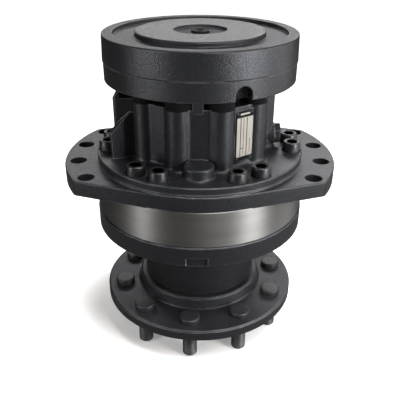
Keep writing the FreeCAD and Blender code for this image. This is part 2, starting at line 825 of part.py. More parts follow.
def taper_bearing(name, level, outward):
    """Cup, cone, rollers and cage. The rollers' thick ends point outward, +1 up or -1 down."""
    taper = SIZES["roller_half_taper"]
    gap, rib = SIZES["fit_gap"], SIZES["cone_rib"]
    half = SIZES["bearing_width"] / 2
    cup_radius = SIZES["bearing_outer"] - gap

    def at(radius, offset):
        return radius, level + outward * offset

    cup = [at(cup_radius, -half), at(cup_radius, half),
           at(raceway(half, taper) + gap, half), at(raceway(-half, taper) + gap, -half)]
    bore = SIZES["journal_radius"] + gap
    face, track_start = cone_half.value, -SIZES["roller_length"] / 2
    tilt = math.radians(SIZES["roller_tilt"])
    half_roller, thick = SIZES["roller_length"] / 2 + gap * 4, roller_radii()[1]
    track_end = half_roller * math.cos(tilt) + thick * math.sin(tilt)
    rib_edge = track_end - rib * math.tan(tilt)
    track_in, track_out = raceway(track_start, -taper) - gap, raceway(track_end, -taper) - gap
    cone = [at(bore, -face), at(track_in + rib / 3, -face), at(track_in + rib / 3, track_start),
            at(track_in, track_start), at(track_out, track_end), at(track_out + rib, rib_edge),
            at(track_out + rib, face), at(bore, face)]
    plain_solid(f"{name}_bearing_cup", ring_about_shaft(cup))
    plain_solid(f"{name}_bearing_cone", ring_about_shaft(cone))
    rollers = roller_ring(level, outward, 0.0)
    plain_solid(f"{name}_bearing_rollers", Part.makeCompound(rollers))
    thin = SIZES["cage_thickness"] / 2
    span = half - gap * 2
    shell = [at(raceway(-span, 0) - thin, -span), at(raceway(span, 0) - thin, span),
             at(raceway(span, 0) + thin, span), at(raceway(-span, 0) + thin, -span)]
    windows = roller_ring(level, outward, SIZES["running_gap"])
    plain_solid(f"{name}_bearing_cage", ring_about_shaft(shell).cut(windows))


def roller_radii():
    """The radii of a taper roller's two ends."""
    slant = SIZES["roller_circle"] / math.sin(math.radians(SIZES["roller_tilt"]))
    half, slope = SIZES["roller_length"] / 2, math.tan(math.radians(SIZES["roller_half_taper"]))
    return (slant - half) * slope - SIZES["fit_gap"], (slant + half) * slope - SIZES["fit_gap"]


def roller_ring(level, outward, growth):
    """The taper rollers of one bearing, each grown all round by a gap."""
    tilt = SIZES["roller_tilt"]
    half = SIZES["roller_length"] / 2 + growth
    thin, thick = roller_radii()
    roller = Part.makeCone(thin + growth, thick + growth, half * 2, FreeCAD.Vector(0, 0, -half))
    lean = FreeCAD.Rotation(FreeCAD.Vector(0, 1, 0), tilt)
    if outward < 0:
        lean = FreeCAD.Rotation(FreeCAD.Vector(0, 1, 0), 180 - tilt)
    roller.Placement = FreeCAD.Placement(FreeCAD.Vector(SIZES["roller_circle"], 0, level), lean)
    rollers = []
    for k in range(BEARING_ROLLERS):
        copy = roller.copy()
        copy.rotate(FreeCAD.Vector(), FreeCAD.Vector(0, 0, 1), 360 * k / BEARING_ROLLERS)
        rollers.append(copy)
    return rollers


def bearing_pair():
    """Both bearings, the sleeve between their cones, the nut that clamps them and the lip seal."""
    taper_bearing("front", SIZES["front_bearing_level"], -1)
    taper_bearing("rear", SIZES["rear_bearing_level"], 1)
    edge, gap = d.edge_break, d.fit_gap
    sleeve = new_body("bearing_sleeve")
    low, high = d.front_bearing_level + cone_half, d.rear_bearing_level - cone_half
    inner, outer = d.journal_radius + gap, d.journal_radius + d.sleeve_wall
    turned(sleeve, [(inner, low), (outer, low), (outer, high), (inner, high)])
    nut = new_body("bearing_nut")
    foot = d.rear_bearing_level + cone_half
    top = foot + d.nut_height
    turned(nut, [(d.nut_thread_radius + gap, foot), (d.nut_outer, foot), (d.nut_outer, top - edge),
                 (d.nut_outer - edge, top), (d.nut_thread_radius + gap, top)])
    slot = new_sketch(nut, "XY_Plane", (0, 0, top))
    floor, mouth = d.nut_outer - d.nut_slot, d.nut_outer + edge
    draw_outline(slot, [(floor, -d.nut_slot), (mouth, -d.nut_slot), (mouth, d.nut_slot), (floor, d.nut_slot)])
    repeated(nut, [extruded(nut, slot, d.nut_height, cut=True)], NUT_SLOTS)
    seal = new_body("shaft_seal")
    foot = neck_foot + edge
    top = foot + d.shaft_seal_height
    wall = d.shaft_seal_wall
    turned(seal, [
        (d.case_bore_radius - gap, foot), (d.case_bore_radius - gap, top),
        (d.case_bore_radius - wall, top), (d.case_bore_radius - wall, foot + wall * 1.5),
        (d.seal_journal_radius + wall, foot + wall * 1.5), (d.seal_journal_radius + wall, top - wall),
        (d.seal_journal_radius + gap, top - wall * 1.5), (d.seal_journal_radius + gap, top - wall * 2),
        (d.seal_journal_radius + wall / 2, foot)])


def cylinder_block():
    """The turning block with eight radial bores, a splined centre and a feed hole above each bore."""
    body = new_body("cylinder_block")
    edge = d.edge_break
    turned(body, [(0, block_foot), (block_radius - edge, block_foot), (block_radius, block_foot + edge),
                  (block_radius, block_top - edge), (block_radius - edge, block_top), (0, block_top)])
    root = d.block_spline_radius + d.spline_gap
    round_holes(body, [(0, 0, root)], block_top, block_top - block_foot)
    slot = spline_tooth(body, d.block_spline_radius, d.block_spline_tooth, d.block_spline_width,
                        block_foot, block_top - block_foot, d.spline_gap, cut=True)
    repeated(body, [slot], BLOCK_TEETH)
    sketch = new_sketch(body, "XZ_Plane", (-cylinder_floor * sine(d.block_turn), 0,
                                           -cylinder_floor * cosine(d.block_turn)), d.block_turn)
    draw_circle(sketch, 0, block_middle, d.piston_radius + d.fit_gap)
    bore = extruded(body, sketch, block_radius, cut=True)
    port = (*polar_point(d.block_port_circle, d.block_turn + 90), d.block_port_radius)
    feed = round_holes(body, [port], block_top, block_top - block_middle)
    repeated(body, [bore, feed], PISTONS)


def pistons_and_rollers():
    """Eight pistons, drawn in as when the motor free-wheels, each with a cradled cam roller."""
    for k in range(PISTONS):
        degrees = 90 + SIZES["block_turn"] + 360 * k / PISTONS
        turn = FreeCAD.Rotation(FreeCAD.Vector(0, 0, 1), degrees)
        barrel = doc.addObject("Part::Cylinder", f"piston_{k + 1}_barrel")
        barrel.setExpression("Radius", d.piston_radius.text)
        length = d.piston_below_roller + d.piston_above_roller
        barrel.setExpression("Height", length.text)
        barrel.Placement.Rotation = FreeCAD.Rotation(FreeCAD.Vector(0, 1, 0), 90)
        barrel.setExpression("Placement.Base.x", (piston_rest - d.piston_below_roller).text)
        barrel.setExpression("Placement.Base.z", block_middle.text)
        cradle = doc.addObject("Part::Cylinder", f"piston_{k + 1}_cradle")
        cradle.setExpression("Radius", (d.cam_roller_radius + d.fit_gap).text)
        cradle.setExpression("Height", (d.piston_radius * 2).text)
        cradle.setExpression("Placement.Base.x", piston_rest.text)
        cradle.setExpression("Placement.Base.z", (block_middle - d.piston_radius).text)
        piston = doc.addObject("Part::Cut", f"piston_{k + 1}")
        piston.Label = f"piston_{k + 1}"
        piston.Base, piston.Tool = barrel, cradle
        piston.Placement = FreeCAD.Placement(FreeCAD.Vector(), turn)
        roller = doc.addObject("Part::Cylinder", f"cam_roller_{k + 1}")
        roller.Label = f"cam_roller_{k + 1}"
        roller.setExpression("Radius", d.cam_roller_radius.text)
        roller.setExpression("Height", d.cam_roller_length.text)
        roller.setExpression("Placement.Base.x", (piston_rest * cosine(degrees)).text)
        roller.setExpression("Placement.Base.y", (piston_rest * sine(degrees)).text)
        roller.setExpression("Placement.Base.z", (block_middle - d.cam_roller_length / 2).text)


def distributor():
    """The fixed column that feeds the block through twelve holes, from two ring grooves."""
    body = new_body("distributor")
    low, high, depth = d.low_groove_level, d.high_groove_level, d.groove_height
    turned(body, [
        (d.quill_bore, distributor_foot), (d.head_radius, distributor_foot),
        (d.head_radius, d.head_top), (d.low_land_radius, d.head_top),
        (d.low_land_radius, low), (d.low_groove_floor, low), (d.low_groove_floor, low + depth),
        (d.mid_land_radius, low + depth), (d.mid_land_radius, high), (d.high_groove_floor, high),
        (d.high_groove_floor, high + depth), (d.high_land_radius, high + depth),
        (d.high_land_radius, d.distributor_top), (d.quill_bore, d.distributor_top)])
    seal_foot = d.head_top * 2
    turned(body, [(d.low_land_radius - d.ring_seal_depth, seal_foot),
                  (d.low_land_radius + d.edge_break, seal_foot),
                  (d.low_land_radius + d.edge_break, seal_foot + d.ring_seal_width),
                  (d.low_land_radius - d.ring_seal_depth, seal_foot + d.ring_seal_width)], cut=True)
    for circle, top, angle in ((d.low_feed_circle, low + depth / 2, d.low_feed_angle),
                               (d.high_feed_circle, high + depth / 2, d.high_feed_angle)):
        sketch = new_sketch(body, "XY_Plane", (0, 0, distributor_foot))
        draw_circle(sketch, *polar_point(circle, angle), d.feed_radius)
        drill = extruded(body, sketch, top - distributor_foot, cut=True, reverse=True)
        repeated(body, [drill], LOBES)
    seal_ring("distributor_seal", [
        (d.low_land_radius - d.ring_seal_depth + d.fit_gap, d.low_land_radius,
         seal_foot + d.fit_gap, seal_foot + d.ring_seal_width - d.fit_gap)])
    spring = new_body("distributor_spring")
    rise = d.spring_room - d.distributor_top - d.fit_gap * 2
    foot = d.distributor_top + d.fit_gap
    thin = rise / 2
    inner, outer = d.hub_bore + d.spring_clearance, d.high_land_radius - d.spring_clearance
    turned(spring, [(inner, foot + thin), (outer, foot), (outer, foot + thin), (inner, foot + rise)])


def valve_housing():
    """The middle casting: a round flange, ten bolt columns with flat walls between, and the port block."""
    body = new_body("valve_housing")
    edge = d.edge_break
    turned(body, [
        (0, pad_top - d.spigot_depth), (spigot_radius - d.fit_gap, pad_top - d.spigot_depth),
        (spigot_radius - d.fit_gap, pad_top), (housing_flange_radius - edge, pad_top),
        (housing_flange_radius, pad_top + edge), (housing_flange_radius, housing_flange_top - edge),
        (housing_flange_radius - edge, housing_flange_top), (0, housing_flange_top)])
    wall = new_sketch(body, "XY_Plane", (0, 0, housing_flange_top))
    corner = d.wall_distance / cosine(180 / COLUMNS)
    draw_outline(wall, [polar_point(corner, as_size(360 * k / COLUMNS)) for k in range(COLUMNS)])
    extruded(body, wall, d.column_height)
    column = round_pads(body, [(d.column_circle, 0, d.column_radius)], housing_flange_top, d.column_height)
    repeated(body, [column], COLUMNS)
    doc.recompute()
    inside = d.case_screw_circle.value
    dressed(body, "Fillet", d.column_side_fillet,
            upright_edges(body.Shape, lambda x, y: math.hypot(x, y) < inside))
    doc.recompute()
    dressed(body, "Fillet", d.column_foot_fillet, level_edges(
        body.Shape, housing_flange_top.value,
        lambda edge: math.hypot(edge.firstVertex().X, edge.firstVertex().Y) < inside))
    port_block(body)
    rib_and_bosses(body)
    housing_bores(body)
    plug = new_body("drain_plug")
    sketch = new_sketch(plug, "YZ_Plane", (0, 0, d.drain_reach))
    hexagon(sketch, d.drain_y, d.drain_level, d.drain_hex)
    extruded(plug, sketch, d.drain_hex_height)
    stem = new_sketch(plug, "YZ_Plane", (0, 0, d.drain_reach))
    draw_circle(stem, d.drain_y, d.drain_level, d.drain_bore - d.fit_gap)
    extruded(plug, stem, d.drain_bore_depth - edge, reverse=True)


def port_block(body):
    """The block at -X with the two working ports side by side, and the galleries into the bore."""
    half = d.port_block_width / 2
    root, chamfer, lip_top = d.wall_root, d.port_block_chamfer, d.port_block_top + d.port_lip_rise
    sketch = new_sketch(body, "XZ_Plane")
    draw_outline(sketch, [
        (-root, housing_flange_top - d.edge_break), (-d.port_block_reach, housing_flange_top - d.edge_break),
        (-d.port_block_reach, d.port_block_top), (-d.port_block_reach + chamfer, lip_top),
        (-d.port_lip_inner, lip_top), (-d.port_lip_inner, d.port_block_top), (-root, d.port_block_top)])
    extruded(body, sketch, half * 2, middle=True)
    doc.recompute()
    face = -d.port_block_reach.value
    dressed(body, "Fillet", d.port_block_corner, upright_edges(body.Shape, lambda x, y: same(x, face)))


def on_front_boss(edge):
    """True for an edge that runs round the front boss."""
    spot = FreeCAD.Vector(d.front_boss_x.value, d.front_boss_y.value, edge.BoundBox.ZMin)
    return (hasattr(edge.Curve, "Radius") and same(edge.Curve.Radius, d.front_boss_radius.value)
            and (edge.Curve.Center - spot).Length < TOLERANCE)


def plate_outline(body, distance, border):
    """The name plate's rectangle on the flat between two columns, grown by a border."""
    angle, shift = d.plate_angle, d.plate_shift
    sketch = new_sketch(body, "XZ_Plane", (distance * cosine(angle), 0, -distance * sine(angle)), angle + 90)
    half_w, half_h = d.plate_width / 2 + border, d.plate_height / 2 + border
    low, high = d.plate_level - half_h, d.plate_level + half_h
    draw_outline(sketch, [(shift - half_w, low), (shift + half_w, low), (shift + half_w, high),
                          (shift - half_w, high)])
    return sketch


def rib_and_bosses(body):
    """The gusset beside the port block, the blind boss at the front and the drain boss at the right."""
    rib = new_sketch(body, "XZ_Plane", turn=d.rib_angle)
    root, foot = d.wall_root, housing_flange_top - d.edge_break
    wall = d.column_circle + d.column_radius - d.edge_break
    draw_outline(rib, [(root, foot), (d.rib_foot, foot), (d.rib_foot, d.rib_shoulder - d.port_block_chamfer),
                       (d.rib_foot - d.port_block_chamfer, d.rib_shoulder), (wall, d.rib_peak),
                       (root, d.rib_peak)])
    extruded(body, rib, d.rib_thickness, middle=True)
    top, radius, flare = housing_flange_top + d.front_boss_height, d.front_boss_radius, d.front_boss_flare
    foot_curve = [(radius + flare - flare * sine(turn), housing_flange_top + flare - flare * cosine(turn))
                  for turn in (0, 22.5, 45, 67.5, 90)]
    turned(body, [(0, foot), (radius + flare, foot)] + foot_curve + [(radius, top), (0, top)],
           (d.front_boss_x, 0, -d.front_boss_y))
    doc.recompute()
    dressed(body, "Fillet", d.front_boss_edge, level_edges(body.Shape, top.value, on_front_boss))
    pad = plate_outline(body, d.wall_distance - d.edge_break, d.plate_pad_border)
    extruded(body, pad, d.plate_pad_rise + d.edge_break)
    boss = new_sketch(body, "YZ_Plane", (0, 0, root - d.column_radius))
    draw_circle(boss, d.drain_y, d.drain_level, d.drain_boss_radius)
    extruded(body, boss, d.drain_reach - root + d.column_radius)


def housing_bores(body):
    """The stepped bore for the distributor, the screw holes, the bolt holes, the ports and the drain."""
    gap, run = d.fit_gap, d.running_gap
    foot = pad_top - d.spigot_depth
    seal_low, seal_high = d.low_groove_level + d.groove_height, d.high_groove_level + d.groove_height
    turned(body, [
        (0, foot - gap), (d.head_radius + run, foot - gap), (d.head_radius + run, d.head_top + run),
        (d.low_land_radius + gap, d.head_top + run), (d.low_land_radius + gap, seal_low),
        (d.mid_land_radius + gap, seal_low), (d.mid_land_radius + gap, seal_high),
        (d.high_land_radius + gap, seal_high), (d.high_land_radius + gap, d.spring_room),
        (d.hub_bore, d.spring_room), (d.hub_bore, housing_top + gap), (0, housing_top + gap)], cut=True)
    turned(body, [(flange_seal_inner - gap, pad_top - gap),
                  (flange_seal_inner + d.ring_seal_width + gap, pad_top - gap),
                  (flange_seal_inner + d.ring_seal_width + gap, pad_top + seal_sink),
                  (flange_seal_inner - gap, pad_top + seal_sink)], cut=True)
    spots = round_holes(body, screw_pair(d.spot_face_radius), housing_flange_top + d.screw_access,
                        d.screw_access + d.spot_face_depth)
    repeated(body, [spots], LOBES)
    holes = round_holes(body, screw_pair(d.case_screw_hole), housing_flange_top, d.housing_flange_height)
    repeated(body, [holes], LOBES)
    tapped = round_holes(body, [(d.column_circle, 0, d.brake_bolt_radius + gap)], housing_top,
                         d.brake_bolt_length - brake_bolt_seat + housing_top + d.edge_break * 2)
    repeated(body, [tapped], COLUMNS)
    face = (0, 0, -d.port_block_reach)
    ports = new_sketch(body, "YZ_Plane", face)
    half = d.port_spacing / 2
    draw_circle(ports, half, d.port_level, d.port_radius)
    draw_circle(ports, -half, d.port_level, d.port_radius)
    extruded(body, ports, d.port_depth, cut=True, reverse=True)
    galleries = new_sketch(body, "YZ_Plane", face)
    draw_circle(galleries, half, d.port_level - d.gallery_shift, d.gallery_radius)
    draw_circle(galleries, -half, d.port_level + d.gallery_shift, d.gallery_radius)
    extruded(body, galleries, d.port_block_reach - d.high_groove_floor, cut=True, reverse=True)
    drain = new_sketch(body, "YZ_Plane", (0, 0, d.drain_reach))
    draw_circle(drain, d.drain_y, d.drain_level, d.drain_bore)
    extruded(body, drain, d.drain_bore_depth, cut=True)
    leak = new_sketch(body, "YZ_Plane", (0, 0, d.drain_reach))
    draw_circle(leak, d.drain_y, d.drain_level, d.drain_bore / 2)
    extruded(body, leak, d.drain_reach - d.low_groove_floor, cut=True)


def brake_housing():
    """The short drum above the columns: ten bosses and a spigot below, stepped bores for the brake."""
    body = new_body("brake_housing")
    gap = d.fit_gap
    recess_floor = brake_top - d.brake_recess_depth
    groove_foot, groove_top = snap_ring_levels(gap)
    turned(body, [
        (d.disc_bore, housing_top), (d.brake_spigot, housing_top), (d.brake_spigot, brake_foot),
        (d.brake_radius - d.edge_break, brake_foot), (d.brake_radius, brake_foot + d.edge_break),
        (d.brake_radius, brake_top), (d.brake_recess, brake_top),
        (d.brake_recess, groove_top), (d.brake_recess + d.snap_ring_width / 2, groove_top),
        (d.brake_recess + d.snap_ring_width / 2, groove_foot), (d.brake_recess, groove_foot),
        (d.brake_recess, recess_floor), (d.brake_bore, recess_floor),
        (d.brake_bore, brake_floor_top), (d.plug_bore, brake_floor_top),
        (d.plug_bore, d.plug_bore_floor), (d.disc_bore, d.plug_bore_floor)])
    boss = round_pads(body, [(d.column_circle, 0, d.column_radius)], housing_top,
                      d.brake_boss_height + d.edge_break * 2)
    sink, drill = d.brake_bolt_head + d.running_gap, d.brake_bolt_radius + d.running_gap
    hole = turned(body, [
        (0, brake_floor_top + gap), (sink, brake_floor_top + gap), (sink, brake_bolt_seat),
        (drill, brake_bolt_seat), (drill, housing_top - gap), (0, housing_top - gap)],
        (d.column_circle, 0, 0), cut=True)
    repeated(body, [boss, hole], COLUMNS)
    tab = new_sketch(body, "XZ_Plane", (0, 0, d.brake_radius - d.edge_break / 2))
    draw_outline(tab, [(d.tab_left, brake_foot - d.tab_height), (d.tab_right, brake_foot - d.tab_height),
                       (d.tab_right, brake_foot + d.brake_floor), (d.tab_left, brake_foot + d.brake_floor)])
    extruded(body, tab, d.tab_thickness, reverse=True)
    doc.recompute()
    foot = (brake_foot - d.tab_height).value
    corners = (d.tab_left.value, d.tab_right.value)
    dressed(body, "Fillet", d.tab_corner, level_edges(body.Shape, foot, lambda edge: any(
        same(edge.BoundBox.XMin, x) and same(edge.BoundBox.XMax, x) for x in corners)))
    arch_notch(body)
    disc_slots(body)
    release_port(body)


def snap_ring_levels(gap):
    return d.snap_ring_level - gap, d.snap_ring_level + d.snap_ring_height + gap


def arch_notch(body):
    """The shallow arched recess in the brake housing's side."""
    spot = d.brake_radius - d.arch_depth
    sketch = new_sketch(body, "XZ_Plane", (spot * cosine(d.arch_angle), 0, -spot * sine(d.arch_angle)),
                        d.arch_angle + 90)
    half, rise = d.arch_half_width, d.arch_rise
    spring_line = brake_foot + rise - half
    foot = brake_foot - d.edge_break
    left, right = FreeCAD.Vector(-half.value, foot.value), FreeCAD.Vector(half.value, foot.value)
    up_left = FreeCAD.Vector(-half.value, spring_line.value)
    up_right = FreeCAD.Vector(half.value, spring_line.value)
    crown = FreeCAD.Vector(0, (brake_foot + rise).value)
    sketch.addGeometry(Part.LineSegment(left, right), False)
    sketch.addGeometry(Part.LineSegment(right, up_right), False)
    sketch.addGeometry(Part.Arc(up_right, crown, up_left), False)
    sketch.addGeometry(Part.LineSegment(up_left, left), False)
    for i in range(4):
        sketch.addConstraint(Sketcher.Constraint("Coincident", i, 2, (i + 1) % 4, 1))
    pin_point(sketch, 0, 1, -half, foot)
    pin_point(sketch, 1, 1, half, foot)
    pin_point(sketch, 2, 1, half, spring_line)
    pin_point(sketch, 3, 1, -half, spring_line)
    index = sketch.addConstraint(Sketcher.Constraint("DistanceY", -1, 1, 2, 3, spring_line.value))
    sketch.setExpression(f"Constraints[{index}]", spring_line.text)
    extruded(body, sketch, d.arch_depth * 2, cut=True, reverse=True)


def disc_slots(body):
    """Slots in the disc bore that hold the steel discs' lugs."""
    half = d.disc_lug_width / 2 + d.spline_gap
    sketch = new_sketch(body, "XY_Plane", (0, 0, d.plug_bore_floor))
    reach = d.disc_bore + d.disc_lug_rise + d.spline_gap
    draw_outline(sketch, [(d.hub_bore, -half), (reach, -half), (reach, half), (d.hub_bore, half)])
    repeated(body, [extruded(body, sketch, d.plug_bore_floor - housing_top, cut=True)], DISC_LUGS)


def release_port(body):
    """The brake release port at the back, with its small gallery to the piston's chamber."""
    sketch = new_sketch(body, "XZ_Plane", (0, 0, -d.brake_radius))
    draw_circle(sketch, 0, d.release_level, d.release_port)
    extruded(body, sketch, d.release_depth, cut=True, reverse=True)
    gallery = new_sketch(body, "XZ_Plane", (0, 0, -d.brake_radius))
    draw_circle(gallery, 0, brake_floor_top + d.piston_chamber / 2, d.release_gallery)
    extruded(body, gallery, d.brake_radius - d.brake_bore + d.edge_break, cut=True, reverse=True)


def brake_shaft():
    """The quill from the output shaft to the brake's friction discs."""
    body = new_body("brake_shaft")
    edge = d.edge_break
    foot = block_top - d.quill_depth + d.quill_end_gap
    hub_foot = housing_top - d.edge_break
    hub_top = disc_pack_top - edge
    root = d.quill_spline_radius
    turned(body, [(0, foot), (root - edge, foot), (root, foot + edge), (root, hub_foot - d.hub_taper),
                  (d.hub_radius, hub_foot), (d.hub_radius, hub_top), (0, hub_top)])
    tooth = spline_tooth(body, root, d.quill_spline_tooth, d.quill_spline_width,
                         foot + edge, block_top - foot)
    repeated(body, [tooth], QUILL_TEETH)
    key = spline_tooth(body, d.hub_radius, d.hub_tooth, d.hub_tooth_width, hub_foot, hub_top - hub_foot)
    repeated(body, [key], DISC_LUGS)


def brake_discs():
    """Steel discs held by the housing, with friction discs held by the brake shaft between them."""
    steel = new_body("brake_steel_discs")
    steel.AllowCompound = True
    outer = d.disc_bore - d.spline_gap
    half = d.disc_lug_width / 2
    for k in range(SIZES["friction_count"] + 1):
        foot = housing_top + d.disc_gap + disc_pitch * k
        turned(steel, [(d.steel_disc_inner, foot), (outer, foot), (outer, foot + d.steel_disc),
                       (d.steel_disc_inner, foot + d.steel_disc)])
        sketch = new_sketch(steel, "XY_Plane", (0, 0, foot))
        reach = d.disc_bore + d.disc_lug_rise - d.spline_gap
        inner = d.disc_bore - d.disc_lug_rise
        draw_outline(sketch, [(inner, -half), (reach, -half), (reach, half), (inner, half)])
        repeated(steel, [extruded(steel, sketch, d.steel_disc)], DISC_LUGS)
    friction = new_body("brake_friction_discs")
    friction.AllowCompound = True
    inner = d.hub_radius + d.spline_gap
    for k in range(SIZES["friction_count"]):
        foot = housing_top + d.disc_gap * 2 + d.steel_disc + disc_pitch * k
        turned(friction, [(inner, foot), (d.friction_disc_outer, foot),
                          (d.friction_disc_outer, foot + d.friction_disc), (inner, foot + d.friction_disc)])
        slot = spline_tooth(friction, d.hub_radius, d.hub_tooth, d.hub_tooth_width, foot, d.friction_disc,
                            d.spline_gap, cut=True)
        repeated(friction, [slot], DISC_LUGS)


def brake_piston():
    """The stepped piston that the springs press onto the discs and that oil lifts off them."""
    body = new_body("brake_piston")
    gap, edge = d.fit_gap, d.edge_break
    plug, bore = d.plug_bore - gap, d.brake_bore - gap
    land = d.plug_bore_floor + d.running_gap
    groove, depth = d.ring_seal_width, d.ring_seal_depth
    plate_seal = piston_plate_foot + d.plate_seal_rise
    plug_seal = land + edge
    turned(body, [
        (0, piston_foot), (d.brake_nose_radius, piston_foot), (d.brake_nose_radius, land),
        (plug, land), (plug, plug_seal), (plug - depth, plug_seal), (plug - depth, plug_seal + groove),
        (plug, plug_seal + groove), (plug, piston_plate_foot), (bore, piston_plate_foot),
        (bore, plate_seal), (bore - depth, plate_seal), (bore - depth, plate_seal + groove),
        (bore, plate_seal + groove), (bore, piston_top - edge), (bore - edge, piston_top), (0, piston_top)])
    round_holes(body, [(0, 0, d.brake_bolt_radius)], piston_top, d.brake_piston_height)
    seal_ring("brake_piston_seals", [
        (plug - depth + gap, plug + gap / 2, plug_seal + gap, plug_seal + groove - gap),
        (bore - depth + gap, bore + gap / 2, plate_seal + gap, plate_seal + groove - gap)])


def disc_springs():
    """Two disc springs, set rim to rim, between the brake piston and the cover."""
    body = new_body("disc_springs")
    body.AllowCompound = True
    thick, cone = d.spring_thickness, d.spring_cone
    foot = piston_top + d.fit_gap
    middle = foot + thick + cone
    turned(body, [(d.spring_inner, foot), (d.spring_outer, foot + cone),
                  (d.spring_outer, middle - d.fit_gap / 2), (d.spring_inner, foot + thick)])
    turned(body, [(d.spring_inner, middle + cone), (d.spring_outer, middle + d.fit_gap / 2),
                  (d.spring_outer, middle + thick), (d.spring_inner, middle + cone + thick)])


def brake_cover():
    """The thick lid: a rim, a sunk ring and a raised disc with a well for the plug."""
    body = new_body("brake_cover")
    edge, gap = d.edge_break, d.fit_gap
    spigot = d.brake_recess - gap
    spigot_foot = brake_top - d.brake_recess_depth + gap
    inner = d.brake_bore + d.running_gap
    groove_foot, groove_top = snap_ring_levels(gap)
    groove = d.brake_recess - d.snap_ring_width / 2
    recess = cover_top - d.cover_recess_depth
    disc_top = cover_top + d.cover_disc_rise
    foot_radius = d.brake_radius + d.cover_overhang
    top_radius = foot_radius - d.cover_draft
    turned(body, [
        (0, cover_ceiling), (d.spring_outer + edge, cover_ceiling), (inner, brake_top),
        (inner, spigot_foot), (spigot, spigot_foot), (spigot, groove_foot), (groove, groove_foot),
        (groove, groove_top), (spigot, groove_top), (spigot, brake_top),
        (foot_radius - edge, brake_top), (foot_radius, brake_top + edge), (top_radius, cover_top),
        (d.cover_recess_outer, cover_top), (d.cover_recess_outer - edge, recess),
        (d.cover_recess_inner, recess), (d.cover_recess_inner, disc_top),
        (d.cover_well_radius, disc_top), (d.cover_well_radius - edge, disc_top - d.cover_well_depth),
        (0, disc_top - d.cover_well_depth)])
    dress_circles(body, "Fillet", d.cover_edge, [(top_radius, cover_top), (d.cover_recess_inner, recess)])
    dress_circles(body, "Fillet", d.cover_disc_edge, [(d.cover_recess_inner, disc_top)])
    well = disc_top - d.cover_well_depth
    round_holes(body, [(0, 0, d.plug_thread + gap)], well, well - cover_ceiling)
    ring = new_body("cover_snap_ring")
    foot = d.snap_ring_level
    turned(ring, [(groove + gap, foot), (groove + d.snap_ring_width - gap, foot),
                  (groove + d.snap_ring_width - gap, foot + d.snap_ring_height),
                  (groove + gap, foot + d.snap_ring_height)])
    plug = new_body("cover_plug")
    top = well + d.plug_height
    turned(plug, [(0, well - d.plug_length), (d.plug_thread - edge, well - d.plug_length),
                  (d.plug_thread, well - d.plug_length + edge), (d.plug_thread, well),
                  (d.plug_radius, well), (d.plug_radius, top - edge / 2), (d.plug_radius - edge / 2, top),
                  (0, top)])
    socket = new_sketch(plug, "XY_Plane", (0, 0, top))
    hexagon(socket, as_size(0), as_size(0), d.plug_socket)
    extruded(plug, socket, d.plug_height * 2, cut=True)


def name_plate():
    """A bare plate on the pad between two columns."""
    body = new_body("name_plate")
    plate = plate_outline(body, d.wall_distance + d.plate_pad_rise + d.fit_gap, as_size(0))
    extruded(body, plate, d.plate_thickness)


mounting_flange()
cam_ring()
case_seals()
front_case()
output_shaft()
wheel_studs()
bearing_pair()
cylinder_block()
pistons_and_rollers()
distributor()
valve_housing()
socket_screws("case_screws", d.case_screw_circle, screw_angles(), LOBES,
              screw_seat, (d.case_screw_radius, d.case_screw_head, d.case_screw_head_height,
                           d.case_screw_length, d.case_screw_socket))
brake_housing()
socket_screws("brake_bolts", d.column_circle, (0,), COLUMNS, brake_bolt_seat,
              (d.brake_bolt_radius, d.brake_bolt_head, d.brake_bolt_head_height,
               d.brake_bolt_length, d.brake_bolt_socket))
brake_shaft()
brake_discs()
brake_piston()
disc_springs()
brake_cover()
name_plate()


def sub_parts():
    """Every object that is a piece by itself and not a step towards one."""
    used = set()
    for item in doc.Objects:
        if item.TypeId == "Part::Cut":
            used.update((item.Base.Name, item.Tool.Name))
    kinds = ("PartDesign::Body", "Part::Cut", "Part::Cylinder", "Part::Feature")
    return [item for item in doc.Objects if item.TypeId in kinds and item.Name not in used]


def check_model():
    """Stops with a message if any step failed, cut nothing, or left an unsound shape."""
    faults = []
    for item in doc.Objects:
        if "Invalid" in item.State or "Error" in item.State:
            faults.append(f"{item.Label}: {item.State}")
            continue
        if item.TypeId in ("PartDesign::Pocket", "PartDesign::Groove"):
            if item.Shape.isNull() or item.BaseFeature.Shape.isNull():
                faults.append(f"{item.Name} has no shape")
            elif item.Shape.Volume > item.BaseFeature.Shape.Volume - 1e-3:
                faults.append(f"{item.Name} cuts nothing")
    for item in sub_parts():
        if item.Shape.isNull() or not item.Shape.isValid():
            faults.append(f"{item.Label}: the shape is not sound")
    if faults:
        raise SystemExit("\n".join(faults))


doc.recompute()
check_model()
for item in sub_parts():
    item.Shape.exportStep(f"parts/{item.Label}.step")
    print(item.Label, len(item.Shape.Solids), round(item.Shape.Volume / 1000, 1), "cm3")
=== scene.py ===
# %% [markdown]
# # A hydraulic drive motor, finished in Blender
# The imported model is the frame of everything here. It holds each casting, shaft, bearing and screw of the
# motor at its real size, in metres, with the origin on the shaft at the lower face of the mounting flange.
# The frame is loaded first and never moved. The cells below give it paint, steel and light, cut one notch
# deeper, and put finer screws, studs, plugs and a name plate in the places of their plain ones.

# %% Load the frame
import json
import math

import bmesh
import bpy
from mathutils import Matrix, Vector


